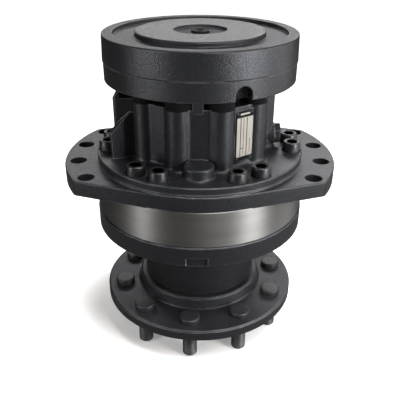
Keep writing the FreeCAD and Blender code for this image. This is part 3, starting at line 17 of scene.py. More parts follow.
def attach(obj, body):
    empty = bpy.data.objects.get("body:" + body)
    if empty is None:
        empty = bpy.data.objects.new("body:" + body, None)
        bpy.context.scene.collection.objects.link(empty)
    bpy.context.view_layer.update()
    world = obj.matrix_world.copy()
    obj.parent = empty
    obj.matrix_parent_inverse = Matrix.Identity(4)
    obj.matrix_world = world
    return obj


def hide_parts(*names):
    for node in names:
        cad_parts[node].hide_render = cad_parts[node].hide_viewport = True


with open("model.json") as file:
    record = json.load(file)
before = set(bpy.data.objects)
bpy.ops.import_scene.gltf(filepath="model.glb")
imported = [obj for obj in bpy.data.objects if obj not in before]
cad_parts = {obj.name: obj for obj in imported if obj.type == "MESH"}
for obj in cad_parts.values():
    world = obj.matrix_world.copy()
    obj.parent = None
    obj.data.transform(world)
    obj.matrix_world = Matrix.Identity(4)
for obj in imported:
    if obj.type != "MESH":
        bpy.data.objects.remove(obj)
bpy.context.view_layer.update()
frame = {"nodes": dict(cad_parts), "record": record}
nodes = frame["nodes"]
print("nodes in the frame:", len(nodes))

# %% [markdown]
# ## The camera
# The photograph looks down on the motor from the front. A camera can be set by eye, or solved from shapes
# whose true form is known. Solving was chosen, because the motor's round edges all have to meet one
# perspective, and that gives the camera's height, its distance and its lens together. The picture is square,
# so one sensor width and one focal length describe it.

# %% Camera
MM = 0.001
CAMERA_DISTANCE, CAMERA_HEIGHT = 638.5 * MM, 281.6 * MM
CAMERA_PITCH, CAMERA_ROLL = math.radians(27.36), math.radians(0.235)
SENSOR, PICTURE_WIDTH, FOCAL_PIXELS, SIDE_SHIFT = 36.0, 400, 550.6, 0.0011

camera_data = bpy.data.cameras.new("photo_camera")
camera_data.sensor_width = SENSOR
camera_data.lens = FOCAL_PIXELS / PICTURE_WIDTH * SENSOR
camera_data.shift_x = SIDE_SHIFT
camera = bpy.data.objects.new("photo_camera", camera_data)
camera.location = (0, -CAMERA_DISTANCE, CAMERA_HEIGHT)
tilt = Matrix.Rotation(math.pi / 2 - CAMERA_PITCH, 4, "X")
camera.rotation_euler = (tilt @ Matrix.Rotation(CAMERA_ROLL, 4, "Z")).to_euler()
bpy.context.scene.collection.objects.link(camera)
bpy.context.scene.camera = camera
bpy.context.scene.view_settings.view_transform = "Standard"
print("lens", round(camera_data.lens, 1), "mm")

# %% [markdown]
# ## Small helpers for node trees
# A material is a graph. It can be drawn in the shader editor, or written down as here, where most lines only
# add a node or join two sockets. Three helpers keep the finishes below short enough to read: one adds a node
# with its values, one makes a group with named inputs and outputs, so that several finishes can share one
# effect, and one places such a group in a material.

# %% Node helpers
def add_node(tree, kind, sockets=None, **settings):
    """A shader node. sockets maps an input's name or number to a value or to another node's output."""
    made = tree.nodes.new("ShaderNode" + kind)
    for name, value in settings.items():
        setattr(made, name, value)
    for name, value in (sockets or {}).items():
        if isinstance(value, bpy.types.NodeSocket):
            tree.links.new(value, made.inputs[name])
        else:
            made.inputs[name].default_value = value
    return made


def add_group(name, inputs, outputs):
    """A node group with float inputs {name: default} and outputs {name: socket type}."""
    tree = bpy.data.node_groups.new(name, "ShaderNodeTree")
    for label, default in inputs.items():
        socket = tree.interface.new_socket(label, in_out="INPUT", socket_type="NodeSocketFloat")
        socket.default_value = default
    for label, kind in outputs.items():
        tree.interface.new_socket(label, in_out="OUTPUT", socket_type=kind)
    return tree, tree.nodes.new("NodeGroupInput"), tree.nodes.new("NodeGroupOutput")


def use_group(tree, group, sockets):
    """Places a node group in a material with its own values."""
    placed = tree.nodes.new("ShaderNodeGroup")
    placed.node_tree = group
    for name, value in sockets.items():
        placed.inputs[name].default_value = value
    return placed


print("node helpers:", add_node.__name__, add_group.__name__, use_group.__name__)

# %% [markdown]
# ## Sand-cast grain
# Paint on a sand casting keeps the sand's texture: a fine orange peel of about a millimetre, with wider,
# shallow waves below it. An image of real paint could give it, but noise needs no unwrapping and shows no
# seams. Two noises at two scales give the height, and a third, much wider one makes the paint's tone drift a
# little, as sprayed paint does. The group puts out the height and the drift.

# %% Grain group
DRIFT_SCALE = 14.0
grain_group, grain_in, grain_out = add_group(
    "cast_grain", {"Grain Scale": 800.0, "Wave Scale": 120.0, "Wave Share": 0.4},
    {"Height": "NodeSocketFloat", "Drift": "NodeSocketFloat"})
grain_place = add_node(grain_group, "TexCoord")
fine = add_node(grain_group, "TexNoise", {
    "Vector": grain_place.outputs["Object"], "Detail": 3.0, "Roughness": 0.6,
    "Scale": grain_in.outputs["Grain Scale"]})
wave = add_node(grain_group, "TexNoise", {
    "Vector": grain_place.outputs["Object"], "Detail": 2.0, "Scale": grain_in.outputs["Wave Scale"]})
height = add_node(grain_group, "Mix", {
    "Factor": grain_in.outputs["Wave Share"], "A": fine.outputs["Fac"], "B": wave.outputs["Fac"]})
drift = add_node(grain_group, "TexNoise", {
    "Vector": grain_place.outputs["Object"], "Scale": DRIFT_SCALE, "Detail": 4.0})
grain_group.links.new(height.outputs["Result"], grain_out.inputs["Height"])
grain_group.links.new(drift.outputs["Fac"], grain_out.inputs["Drift"])
print("made", grain_group.name)

# %% [markdown]
# ## Rounded, rubbed edges, painted lighter
# No real edge is perfectly sharp. Handling rubs the paint thinner there, and the small radius catches the
# light as a thin bright line. Every edge of the frame could be bevelled in its mesh, but the Bevel node does
# it while rendering and leaves the imported shapes alone: it gives the normal that a rounded edge would have.
# Where that differs from the face's own normal there is an edge, so the difference also serves as a mask for
# the edges' lighter colour. That colour is partly rubbed paint, strongest in noise patches, and partly a
# painted highlight along every edge. The mask starts where the two directions agree less than EDGE_START and
# is full at EDGE_FULL.

# %% Edge group
EDGE_START, EDGE_FULL = 0.99, 0.82
# Outside the rubbed patches every edge keeps the least share of the lighter colour, as a painted highlight.
PATCH_START, PATCH_FULL, LEAST_RUB_AND_HIGHLIGHT = 0.38, 0.60, 0.25
edge_group, edge_in, edge_out = add_group(
    "rounded_edge", {"Radius": 0.0006, "Rub Scale": 60.0},
    {"Normal": "NodeSocketVector", "Rub And Highlight": "NodeSocketFloat"})
flat_face = add_node(edge_group, "NewGeometry")
rounded = add_node(edge_group, "Bevel", {"Radius": edge_in.outputs["Radius"]}, samples=6)
agreement = add_node(edge_group, "VectorMath", {
    0: rounded.outputs["Normal"], 1: flat_face.outputs["Normal"]}, operation="DOT_PRODUCT")
edge_mask = add_node(edge_group, "MapRange", {
    "Value": agreement.outputs["Value"], "From Min": EDGE_START, "From Max": EDGE_FULL,
    "To Min": 0.0, "To Max": 1.0})
edge_place = add_node(edge_group, "TexCoord")
patches = add_node(edge_group, "TexNoise", {
    "Vector": edge_place.outputs["Object"], "Detail": 3.0, "Scale": edge_in.outputs["Rub Scale"]})
patch_share = add_node(edge_group, "MapRange", {
    "Value": patches.outputs["Fac"], "From Min": PATCH_START, "From Max": PATCH_FULL,
    "To Min": LEAST_RUB_AND_HIGHLIGHT, "To Max": 1.0})
# The mask of the edges' lighter colour: rubbed paint in patches and a painted highlight on every edge.
worn_and_highlight = add_node(edge_group, "Math", {
    0: edge_mask.outputs["Result"], 1: patch_share.outputs["Result"]}, operation="MULTIPLY")
edge_group.links.new(rounded.outputs["Normal"], edge_out.inputs["Normal"])
edge_group.links.new(worn_and_highlight.outputs["Value"], edge_out.inputs["Rub And Highlight"])
print("made", edge_group.name)

# %% [markdown]
# ## One finish for painted and bare metal
# Nearly every finish of this motor has the same parts: a colour that drifts between two tones, a lighter
# tone on the edges that is partly rubbed paint and partly a painted highlight, a roughness that changes with
# the grain and is lower on the edges, and a bump. Each could be built by hand, but one function keeps them
# alike, and each finish gives only its own numbers. What is the same all over a surface is set on the shader
# itself.

# %% Finish builder
EDGE_POLISH = 0.8
GRAIN_LOW, GRAIN_HIGH = 0.3, 0.7


def build_finish(name, dark, light, rub_and_highlight, rough, grain, bump, metallic=0.0, specular=0.5,
                 gloss_tint=(1.0, 1.0, 1.0), radius=0.0006):
    """A material whose colour, roughness and bump follow the grain, the rubbed edges and a painted edge
    highlight.

    rough is (low, high), grain is (grain scale, wave scale, wave share), bump is (strength, depth).
    """
    material = bpy.data.materials.new(name)
    material.use_nodes = True
    tree = material.node_tree
    shader = tree.nodes["Principled BSDF"]
    texture = use_group(tree, grain_group, {
        "Grain Scale": grain[0], "Wave Scale": grain[1], "Wave Share": grain[2]})
    edges = use_group(tree, edge_group, {"Radius": radius})
    tone = add_node(tree, "Mix", {
        "Factor": texture.outputs["Drift"], "A": (*dark, 1), "B": (*light, 1)}, data_type="RGBA")
    # Painted highlight: the edges get a lighter colour, partly rubbed paint and partly standing in for light.
    colour = add_node(tree, "Mix", {
        "Factor": edges.outputs["Rub And Highlight"], "A": tone.outputs["Result"], "B": (*rub_and_highlight, 1)}, data_type="RGBA")
    grain_shine = add_node(tree, "MapRange", {
        "Value": texture.outputs["Height"], "From Min": GRAIN_LOW, "From Max": GRAIN_HIGH,
        "To Min": rough[0], "To Max": rough[1]})
    shine = add_node(tree, "Mix", {
        "Factor": edges.outputs["Rub And Highlight"], "A": grain_shine.outputs["Result"], "B": rough[0] * EDGE_POLISH})
    relief = add_node(tree, "Bump", {
        "Strength": bump[0], "Distance": bump[1], "Height": texture.outputs["Height"],
        "Normal": edges.outputs["Normal"]})
    tree.links.new(colour.outputs["Result"], shader.inputs["Base Color"])
    tree.links.new(shine.outputs["Result"], shader.inputs["Roughness"])
    tree.links.new(relief.outputs["Normal"], shader.inputs["Normal"])
    shader.inputs["Metallic"].default_value = metallic
    shader.inputs["Specular IOR Level"].default_value = specular
    shader.inputs["Specular Tint"].default_value = (*gloss_tint, 1)
    return material


print("finish builder:", build_finish.__name__)

# %% [markdown]
# ## Paint on the castings and the forging
# The motor is sprayed in one charcoal black, with a slightly cool gloss. One paint could serve for all of it,
# but what lies below shows through: sand texture on the castings, and the wider, deeper scale marks of the
# forge on the output shaft. So there are two paints, which differ in their grain. The forging's paint is also
# a little lighter, as painted light on the output shaft, and both paints have lighter edges that are partly
# rubbed paint and partly a painted highlight.

# %% Paints
COOL_GLOSS = (0.90, 0.92, 1.0)
casting_paint = build_finish(
    "charcoal_casting_paint", dark=(0.011, 0.0113, 0.0123), light=(0.021, 0.0215, 0.023),
    rub_and_highlight=(0.32, 0.323, 0.33), rough=(0.24, 0.37), grain=(760.0, 160.0, 0.2), bump=(0.9, 0.0006),
    specular=0.46, gloss_tint=COOL_GLOSS, radius=0.0013)
# Painted light: this paint is a little lighter than the casting's, and its edge tone is a painted highlight.
forging_paint = build_finish(
    "charcoal_forging_paint", dark=(0.014, 0.0143, 0.0155), light=(0.028, 0.0285, 0.030),
    rub_and_highlight=(0.40, 0.403, 0.41), rough=(0.25, 0.39), grain=(680.0, 130.0, 0.25), bump=(0.9, 0.0009),
    specular=0.5, gloss_tint=COOL_GLOSS, radius=0.0013)
print("paints:", casting_paint.name, forging_paint.name)

# %% [markdown]
# ## The cover's machined disc
# The cover has the same paint, but its raised disc was machined before painting, so it is smoother than the
# rim and the sunk ring, and the well round the plug is the roughest. The faces could be separate pieces with
# a finish each. A mask keeps the cover in one piece: every one of these faces is a ring about the shaft, so
# the distance from the Z axis tells them apart. A ramp turns that distance into the share of cast skin,
# which adds to the roughness: all of it in the well, half of it on the ring and the rim, none on the disc.

# %% Cover paint
WELL_RADIUS, DISC_RADIUS, RIM_RADIUS, MASK_REACH = 0.0306, 0.0738, 0.1102, 0.12
SKIN_ROUGHNESS, WELL_SKIN, RING_SKIN = 0.34, 1.0, 0.5
cover_paint = casting_paint.copy()
cover_paint.name = "charcoal_cover_paint"
cover_tree = cover_paint.node_tree
cover_shader = cover_tree.nodes["Principled BSDF"]
cover_place = add_node(cover_tree, "TexCoord")
flat_place = add_node(cover_tree, "VectorMath", {0: cover_place.outputs["Object"], 1: (1, 1, 0)},
                      operation="MULTIPLY")
shaft_distance = add_node(cover_tree, "VectorMath", {0: flat_place.outputs["Vector"]}, operation="LENGTH")
reach = add_node(cover_tree, "MapRange", {"Value": shaft_distance.outputs["Value"], "From Max": MASK_REACH})
cast_skin = add_node(cover_tree, "ValToRGB", {"Fac": reach.outputs["Result"]})
skin_ramp = cast_skin.color_ramp
skin_ramp.interpolation = "CONSTANT"
skin_ramp.elements[0].color = (WELL_SKIN, WELL_SKIN, WELL_SKIN, 1)
skin_ramp.elements[1].position = RIM_RADIUS / MASK_REACH
skin_ramp.elements[1].color = (0, 0, 0, 1)
for radius, skin in ((WELL_RADIUS, 0), (DISC_RADIUS, RING_SKIN)):
    skin_ramp.elements.new(radius / MASK_REACH).color = (skin, skin, skin, 1)
paint_roughness = cover_shader.inputs["Roughness"].links[0].from_socket
skin_shine = add_node(cover_tree, "Math", {
    0: cast_skin.outputs["Color"], 1: SKIN_ROUGHNESS, 2: paint_roughness}, operation="MULTIPLY_ADD")
cover_tree.links.new(skin_shine.outputs["Value"], cover_shader.inputs["Roughness"])
print("made", cover_paint.name)

# %% [markdown]
# ## Screws and hidden metals
# The screws are black-oxide steel: nearly black, but still metal, so their edges flash, and a painted
# highlight on their edges adds to that. Inside the motor are ground bearing steel, grey iron, a
# bronze-coloured cage, spring steel, friction lining and rubber. They only show when the motor is taken
# apart, and could be left plain, but the same function gives each a real finish for a few numbers.

# %% Metals, lining and rubber
oxide_steel = build_finish(
    "black_oxide_steel", dark=(0.045, 0.046, 0.05), light=(0.075, 0.076, 0.08), rub_and_highlight=(0.45, 0.45, 0.46),
    rough=(0.30, 0.46), grain=(1500.0, 300.0, 0.3), bump=(0.25, 0.0001), metallic=0.85, radius=0.0005)
bearing_steel = build_finish(
    "ground_bearing_steel", dark=(0.50, 0.50, 0.51), light=(0.60, 0.60, 0.61), rub_and_highlight=(0.75, 0.75, 0.76),
    rough=(0.16, 0.28), grain=(2200.0, 400.0, 0.2), bump=(0.08, 0.00005), metallic=1.0, radius=0.0003)
grey_iron = build_finish(
    "machined_grey_iron", dark=(0.22, 0.22, 0.225), light=(0.32, 0.32, 0.325), rub_and_highlight=(0.5, 0.5, 0.5),
    rough=(0.38, 0.55), grain=(1200.0, 260.0, 0.3), bump=(0.2, 0.0001), metallic=0.9, radius=0.0004)
bronze_cage = build_finish(
    "bronze_cage", dark=(0.46, 0.29, 0.12), light=(0.60, 0.40, 0.18), rub_and_highlight=(0.75, 0.55, 0.3),
    rough=(0.28, 0.42), grain=(1800.0, 320.0, 0.3), bump=(0.12, 0.00008), metallic=1.0, radius=0.0003)
spring_steel = build_finish(
    "blued_spring_steel", dark=(0.12, 0.125, 0.14), light=(0.2, 0.205, 0.23), rub_and_highlight=(0.4, 0.4, 0.42),
    rough=(0.3, 0.42), grain=(1600.0, 300.0, 0.3), bump=(0.12, 0.00008), metallic=0.95, radius=0.0004)
friction_lining = build_finish(
    "friction_lining", dark=(0.10, 0.075, 0.05), light=(0.19, 0.15, 0.10), rub_and_highlight=(0.25, 0.2, 0.15),
    rough=(0.75, 0.92), grain=(1400.0, 500.0, 0.5), bump=(0.4, 0.0002), specular=0.3, radius=0.0003)
seal_rubber = build_finish(
    "seal_rubber", dark=(0.003, 0.003, 0.003), light=(0.008, 0.008, 0.008), rub_and_highlight=(0.02, 0.02, 0.02),
    rough=(0.7, 0.9), grain=(1300.0, 240.0, 0.4), bump=(0.2, 0.0001), specular=0.15, radius=0.0003)
print("metals and soft finishes are ready")

# %% [markdown]
# ## The bare cam ring
# The ring between the two painted castings is turned steel with no paint. Turning leaves fine lines that
# run round it, so light from any side is drawn out into a tall soft streak. Grooves in the mesh would be far
# too fine, so the lines are noise squeezed along the shaft, and a wider squeezed noise makes bands of tone.
# Anisotropy with a radial tangent about Z spreads the reflection across the lines.

# %% Brushed ring finish
LINE_SQUEEZE, BAND_SQUEEZE = (8.0, 8.0, 1600.0), (5.0, 5.0, 130.0)
RING_DARK, RING_LIGHT = (0.215, 0.210, 0.203, 1), (0.29, 0.284, 0.276, 1)
RING_ROUGH_LOW, RING_ROUGH_HIGH = 0.46, 0.60
LINE_STRENGTH, LINE_DEPTH = 0.10, 0.00005
brushed_steel = bpy.data.materials.new("brushed_ring_steel")
brushed_steel.use_nodes = True
ring_tree = brushed_steel.node_tree
ring_shader = ring_tree.nodes["Principled BSDF"]
ring_place = add_node(ring_tree, "TexCoord")
squeezed_lines = add_node(ring_tree, "Mapping", {
    "Vector": ring_place.outputs["Object"], "Scale": LINE_SQUEEZE})
lines = add_node(ring_tree, "TexNoise", {
    "Vector": squeezed_lines.outputs["Vector"], "Scale": 1.0, "Detail": 4.0})
squeezed_bands = add_node(ring_tree, "Mapping", {
    "Vector": ring_place.outputs["Object"], "Scale": BAND_SQUEEZE})
bands = add_node(ring_tree, "TexNoise", {
    "Vector": squeezed_bands.outputs["Vector"], "Scale": 1.0, "Detail": 2.0})
ring_tone = add_node(ring_tree, "Mix", {
    "Factor": bands.outputs["Fac"], "A": RING_DARK, "B": RING_LIGHT}, data_type="RGBA")
ring_shine = add_node(ring_tree, "MapRange", {
    "Value": lines.outputs["Fac"], "From Min": GRAIN_LOW, "From Max": GRAIN_HIGH,
    "To Min": RING_ROUGH_LOW, "To Max": RING_ROUGH_HIGH})
ring_relief = add_node(ring_tree, "Bump", {
    "Strength": LINE_STRENGTH, "Distance": LINE_DEPTH, "Height": lines.outputs["Fac"]})
ring_tangent = add_node(ring_tree, "Tangent", direction_type="RADIAL", axis="Z")
ring_tree.links.new(ring_tone.outputs["Result"], ring_shader.inputs["Base Color"])
ring_tree.links.new(ring_shine.outputs["Result"], ring_shader.inputs["Roughness"])
ring_tree.links.new(ring_relief.outputs["Normal"], ring_shader.inputs["Normal"])
ring_tree.links.new(ring_tangent.outputs["Tangent"], ring_shader.inputs["Tangent"])
ring_shader.inputs["Metallic"].default_value = 1.0
ring_shader.inputs["Anisotropic"].default_value = 0.8
ring_shader.inputs["Anisotropic Rotation"].default_value = 0.25
print("made", brushed_steel.name)

# %% [markdown]
# ## Giving each node its finish
# The record says which material slot each node belongs to. The nodes could be dressed one by one, but a
# table from slot to finish dresses the whole frame in one loop, and nothing is left grey. Only the cover
# then gets a paint of its own.

# %% Dress the frame
finish_of_slot = {
    "painted_casting": casting_paint, "painted_forging": forging_paint, "brushed_ring": brushed_steel,
    "black_fastener": oxide_steel, "bearing_steel": bearing_steel, "spring_steel": spring_steel,
    "grey_iron": grey_iron, "bronze": bronze_cage, "friction_lining": friction_lining,
    "seal_rubber": seal_rubber, "plate_metal": bearing_steel}
for part in frame["record"]["subparts"]:
    mesh = nodes[part["node"]].data
    mesh.materials.clear()
    mesh.materials.append(finish_of_slot[part["material_slot"]])
nodes["brake_cover"].data.materials[0] = cover_paint

# %% [markdown]
# ## Turned shapes and their places
# Screws, studs, plugs and gaskets are all turned shapes. A cylinder could be cut and bevelled to each, but a
# few vertices make half of the outline, and the spin operator sweeps it round Z in one step. Merging closes
# the seam and the pole, and the normals are then made to point outwards. Faces are shaded smooth, with edges
# kept sharp where they turn by more than an angle. Outlines are given in millimetres.

# %% Turned shapes
def turned_bmesh(outline, segments):
    """A bmesh turned about Z from (radius, level) points in millimetres."""
    shape = bmesh.new()
    corners = [shape.verts.new((radius * MM, 0, level * MM)) for radius, level in outline]
    edges = [shape.edges.new(pair) for pair in zip(corners, corners[1:])]
    bmesh.ops.spin(shape, geom=corners + edges, cent=(0, 0, 0), axis=(0, 0, 1), angle=2 * math.pi,
                   steps=segments, use_merge=True)
    bmesh.ops.remove_doubles(shape, verts=shape.verts, dist=1e-7)
    bmesh.ops.recalc_face_normals(shape, faces=shape.faces)
    return shape


def stepped_rim(radius, top, steps):
    """Outline points that lie in from a radius and down from a top by each (inwards, down) step."""
    return [(radius - inwards, top - down) for inwards, down in steps]


def to_mesh(shape, name):
    """Turns a bmesh into a mesh and frees it."""
    mesh = bpy.data.meshes.new(name)
    shape.to_mesh(mesh)
    shape.free()
    return mesh


print("shape helpers:", turned_bmesh.__name__, stepped_rim.__name__, to_mesh.__name__)

# %% [markdown]
# A repeated piece could be many objects. One mesh with a copy at every place is easier to move and to
# export, so a place is a matrix, and the copies are joined. The finished piece rides on a body of the frame,
# so that it turns or stands still with it.

# %% Places and pieces
def on_circle(radius, degrees, level):
    """The place at an angle and a level on a circle about the shaft, in millimetres and degrees."""
    angle = math.radians(degrees)
    return Matrix.Translation(Vector((math.cos(angle) * radius, math.sin(angle) * radius, level)) * MM)


def placed_copies(unit, places, name):
    """One mesh that holds a copy of the unit mesh at every matrix."""
    shape = bmesh.new()
    for place in places:
        before = set(shape.verts)
        shape.from_mesh(unit)
        added = [v for v in shape.verts if v not in before]
        bmesh.ops.transform(shape, matrix=place, verts=added)
    return to_mesh(shape, name)


def new_piece(name, mesh, finish, body, slot_name, keep_sharp=35):
    """Links a finished mesh as a piece that rides on a body of the frame."""
    mesh.shade_smooth()
    mesh.set_sharp_from_angle(angle=math.radians(keep_sharp))
    mesh.materials.append(finish)
    piece = bpy.data.objects.new(name, mesh)
    bpy.context.scene.collection.objects.link(piece)
    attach(piece, body)
    print(name, len(mesh.polygons), "faces")
    return piece


print("piece helpers:", on_circle.__name__, placed_copies.__name__, new_piece.__name__)

# %% [markdown]
# ## A hexagon socket
# Cap screws and the cover's plug are turned by a hexagon key. The socket could be cut out by a Boolean, but
# growing it from the head keeps the mesh even: the head is spun with an open top, the top's edge is bridged
# to a hexagon of as many vertices, and the hexagon is extruded down and closed.

# %% Socket helpers
def hexagon_ring(shape, flats, level, segments):
    """A closed ring of vertices along a hexagon, with as many vertices as a circle of the same segments."""
    ring = bmesh.ops.create_circle(shape, segments=segments, radius=flats / 2 * MM)["verts"]
    for vertex in ring:
        angle = math.atan2(vertex.co.y, vertex.co.x)
        from_flat = (angle + math.pi / 6) % (math.pi / 3) - math.pi / 6
        hexagon_reach = flats / 2 * MM / math.cos(from_flat)
        vertex.co = (hexagon_reach * math.cos(angle), hexagon_reach * math.sin(angle), level * MM)
    return ring


def ring_edges(ring):
    """The edges that join the vertices of a ring to each other."""
    members = set(ring)
    return list({e for v in ring for e in v.link_edges if set(e.verts) <= members})


def socket_head(outline, flats, depth, segments):
    """A turned head whose outline ends at the edge of its socket, closed by a hexagon socket."""
    top = outline[-1][1]
    shape = turned_bmesh(outline, segments)
    rim = [e for e in shape.edges if e.is_boundary and abs(e.verts[0].co.z - top * MM) < 1e-6]
    hexagon = hexagon_ring(shape, flats, top, segments)
    bmesh.ops.bridge_loops(shape, edges=rim + ring_edges(hexagon))
    walls = bmesh.ops.extrude_edge_only(shape, edges=ring_edges(hexagon))["geom"]
    floor_ring = [item for item in walls if isinstance(item, bmesh.types.BMVert)]
    bmesh.ops.translate(shape, verts=floor_ring, vec=(0, 0, -depth * MM))
    bmesh.ops.contextual_create(shape, geom=ring_edges(floor_ring))
    bmesh.ops.recalc_face_normals(shape, faces=shape.faces)
    return shape


print("socket helpers:", hexagon_ring.__name__, ring_edges.__name__, socket_head.__name__)

# %% [markdown]
# ## Socket head screws
# Twelve screws clamp the valve housing, the cam ring and the front case. A head is a knurled drum with a
# rounded rim and a hexagon socket. The knurl could be a bump, but then its outline would stay smooth, so
# every second row of vertices on the drum is pressed in. Each screw is twisted by its own angle, because no
# two are tightened to the same one.

# %% Screw heads
SCREW_CIRCLE, SCREW_HALF_ANGLE, SCREW_TURN, SCREW_PAIRS, SCREW_SEAT = 112.1, 7.6, -0.95, 6, 26.2
SHANK_RADIUS, SHANK_TIP, SCREW_LENGTH, SCREW_TWIST = 7.0, 1.0, 90.0, 17
HEAD_RADIUS, HEAD_HEIGHT, HEAD_FOOT, HEAD_SEGMENTS = 10.5, 14.0, 0.5, 96
KNURL_DEPTH = 0.25
HEAD_RIM = ((0, 3.4), (KNURL_DEPTH, 3.0), (KNURL_DEPTH, 1.3), (0.5, 0.6), (1.1, 0.1), (1.7, 0))
SOCKET_MOUTH, SOCKET_RIM, SOCKET_FLATS, SOCKET_DEPTH = 7.9, ((0, 0), (0.6, 0.4)), 12.0, 7.0

head_outline = [
    (0, -SCREW_LENGTH), (SHANK_RADIUS - SHANK_TIP, -SCREW_LENGTH), (SHANK_RADIUS, SHANK_TIP - SCREW_LENGTH),
    (SHANK_RADIUS, 0), (HEAD_RADIUS - HEAD_FOOT, 0), (HEAD_RADIUS, HEAD_FOOT)]
head_outline += stepped_rim(HEAD_RADIUS, HEAD_HEIGHT, HEAD_RIM)
head_outline += stepped_rim(SOCKET_MOUTH, HEAD_HEIGHT, SOCKET_RIM)
screw_shape = socket_head(head_outline, SOCKET_FLATS, SOCKET_DEPTH, HEAD_SEGMENTS)
for vertex in screw_shape.verts:
    on_drum = abs(vertex.co.xy.length - HEAD_RADIUS * MM) < 1e-6
    spoke = round(math.atan2(vertex.co.y, vertex.co.x) / (2 * math.pi / HEAD_SEGMENTS))
    if on_drum and spoke % 2:
        vertex.co.xy *= 1 - KNURL_DEPTH / HEAD_RADIUS
unit_screw = to_mesh(screw_shape, "unit_screw")

screw_places = []
for pair in range(SCREW_PAIRS):
    for side in (-1, 1):
        degrees = 360 / SCREW_PAIRS * pair + side * SCREW_HALF_ANGLE + SCREW_TURN
        place = on_circle(SCREW_CIRCLE, degrees, SCREW_SEAT)
        twist = Matrix.Rotation(math.radians(SCREW_TWIST * (2 * pair + side)), 4, "Z")
        screw_places.append(place @ twist)
screws = new_piece("socket_screws", placed_copies(unit_screw, screw_places, "socket_screws"), oxide_steel,
                   "case", "black_fastener")
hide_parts("case_screws")

# %% [markdown]
# ## Wheel studs
# Ten studs are pressed into the wheel flange from above. Each has a low round head with a softly broken
# rim, a thicker part inside the flange, and a thread below it that holds the wheel's nut. A thread could be
# a true helix, but close rings look like one at this pitch and stay easy to spin. The studs are blackened
# and oiled, duller than the screws, so they get a finish of their own.

# %% Studs
STUD_CIRCLE, STUD_START, STUD_COUNT, STUD_SEGMENTS = 102.5, 11.5, 10, 48
STUD_FLANGE_TOP, STUD_FLANGE, STUD_NECK = -162.9, 13.9, 9.5
STUD_LENGTH, STUD_RADIUS, STUD_TIP = 52.8, 9.0, ((5.5, 0), (7.2, 0.9))
THREAD_PITCH, THREAD_DEPTH, THREAD_START, THREAD_CREST = 2.0, 0.75, 2.2, (0.38, 0.62)
STUD_HEAD, STUD_HEAD_HEIGHT = 12.5, 7.35
STUD_RIM = ((0, 1.7), (0.25, 0.9), (0.8, 0.35), (1.6, 0.1), (4.0, 0))

stud_outline = [(0, -STUD_LENGTH)] + [(radius, above - STUD_LENGTH) for radius, above in STUD_TIP]
ring_level = THREAD_START - STUD_LENGTH
while ring_level < -STUD_FLANGE - THREAD_PITCH * 1.5:
    stud_outline.append((STUD_RADIUS - THREAD_DEPTH, ring_level))
    stud_outline += [(STUD_RADIUS, ring_level + share * THREAD_PITCH) for share in THREAD_CREST]
    ring_level += THREAD_PITCH
stud_outline += [(STUD_RADIUS, -STUD_FLANGE), (STUD_NECK, -STUD_FLANGE), (STUD_NECK, 0),
                 (STUD_HEAD - 0.2, 0), (STUD_HEAD, 0.3)]
stud_outline += stepped_rim(STUD_HEAD, STUD_HEAD_HEIGHT, STUD_RIM) + [(0, STUD_HEAD_HEIGHT)]
unit_stud = to_mesh(turned_bmesh(stud_outline, STUD_SEGMENTS), "unit_stud")
stud_black = build_finish(
    "oiled_stud_black", dark=(0.014, 0.0143, 0.0155), light=(0.028, 0.0285, 0.031), rub_and_highlight=(0.34, 0.34, 0.35),
    rough=(0.30, 0.48), grain=(900.0, 200.0, 0.3), bump=(0.8, 0.0005), specular=0.55, radius=0.0011)
stud_places = [on_circle(STUD_CIRCLE, STUD_START + 360 / STUD_COUNT * k, STUD_FLANGE_TOP)
               for k in range(STUD_COUNT)]
studs = new_piece("threaded_studs", placed_copies(unit_stud, stud_places, "threaded_studs"), stud_black,
                  "shaft", "black_fastener", keep_sharp=30)
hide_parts("wheel_studs")

# %% [markdown]
# ## Flat shapes
# The notch's cutter, the drain plug's hexagon and the name plate all start as a flat outline that is pushed
# out along Z. The primitives of the editor come at fixed sizes, so a unit square is scaled and moved to its
# place instead, and one helper does the push for all of them.

# %% Flat helpers
def rectangle(shape, centre, size, level):
    """Adds a flat rectangle at a level, in millimetres, and returns its corners."""
    corners = bmesh.ops.create_grid(shape, x_segments=1, y_segments=1, size=0.5)["verts"]
    stretch = Matrix.Diagonal((size[0] * MM, size[1] * MM, 1, 1))
    move = Matrix.Translation((centre[0] * MM, centre[1] * MM, level * MM))
    bmesh.ops.transform(shape, verts=corners, matrix=move @ stretch)
    return corners


def push_out(shape, faces, distance):
    """Extrudes faces along Z by a distance in millimetres and returns the vertices of the far end."""
    pushed = bmesh.ops.extrude_face_region(shape, geom=faces)["geom"]
    far_end = [item for item in pushed if isinstance(item, bmesh.types.BMVert)]
    bmesh.ops.translate(shape, verts=far_end, vec=(0, 0, distance * MM))
    return far_end


print("flat helpers:", rectangle.__name__, push_out.__name__)

# %% [markdown]
# ## The notch in the brake housing
# At the right front the brake housing has an arched notch that is dark because it is deep. The packed
# housing holds its outline with a shallow floor. A dark patch of paint could stand in for the depth, but a
# real cut stays true from every side, so a merged copy of the housing is cut deeper here. The cutter is a
# rectangle with its two upper corners bevelled to a half round, pushed out along its face. A Boolean
# modifier takes it away, and its result is kept as the new mesh.

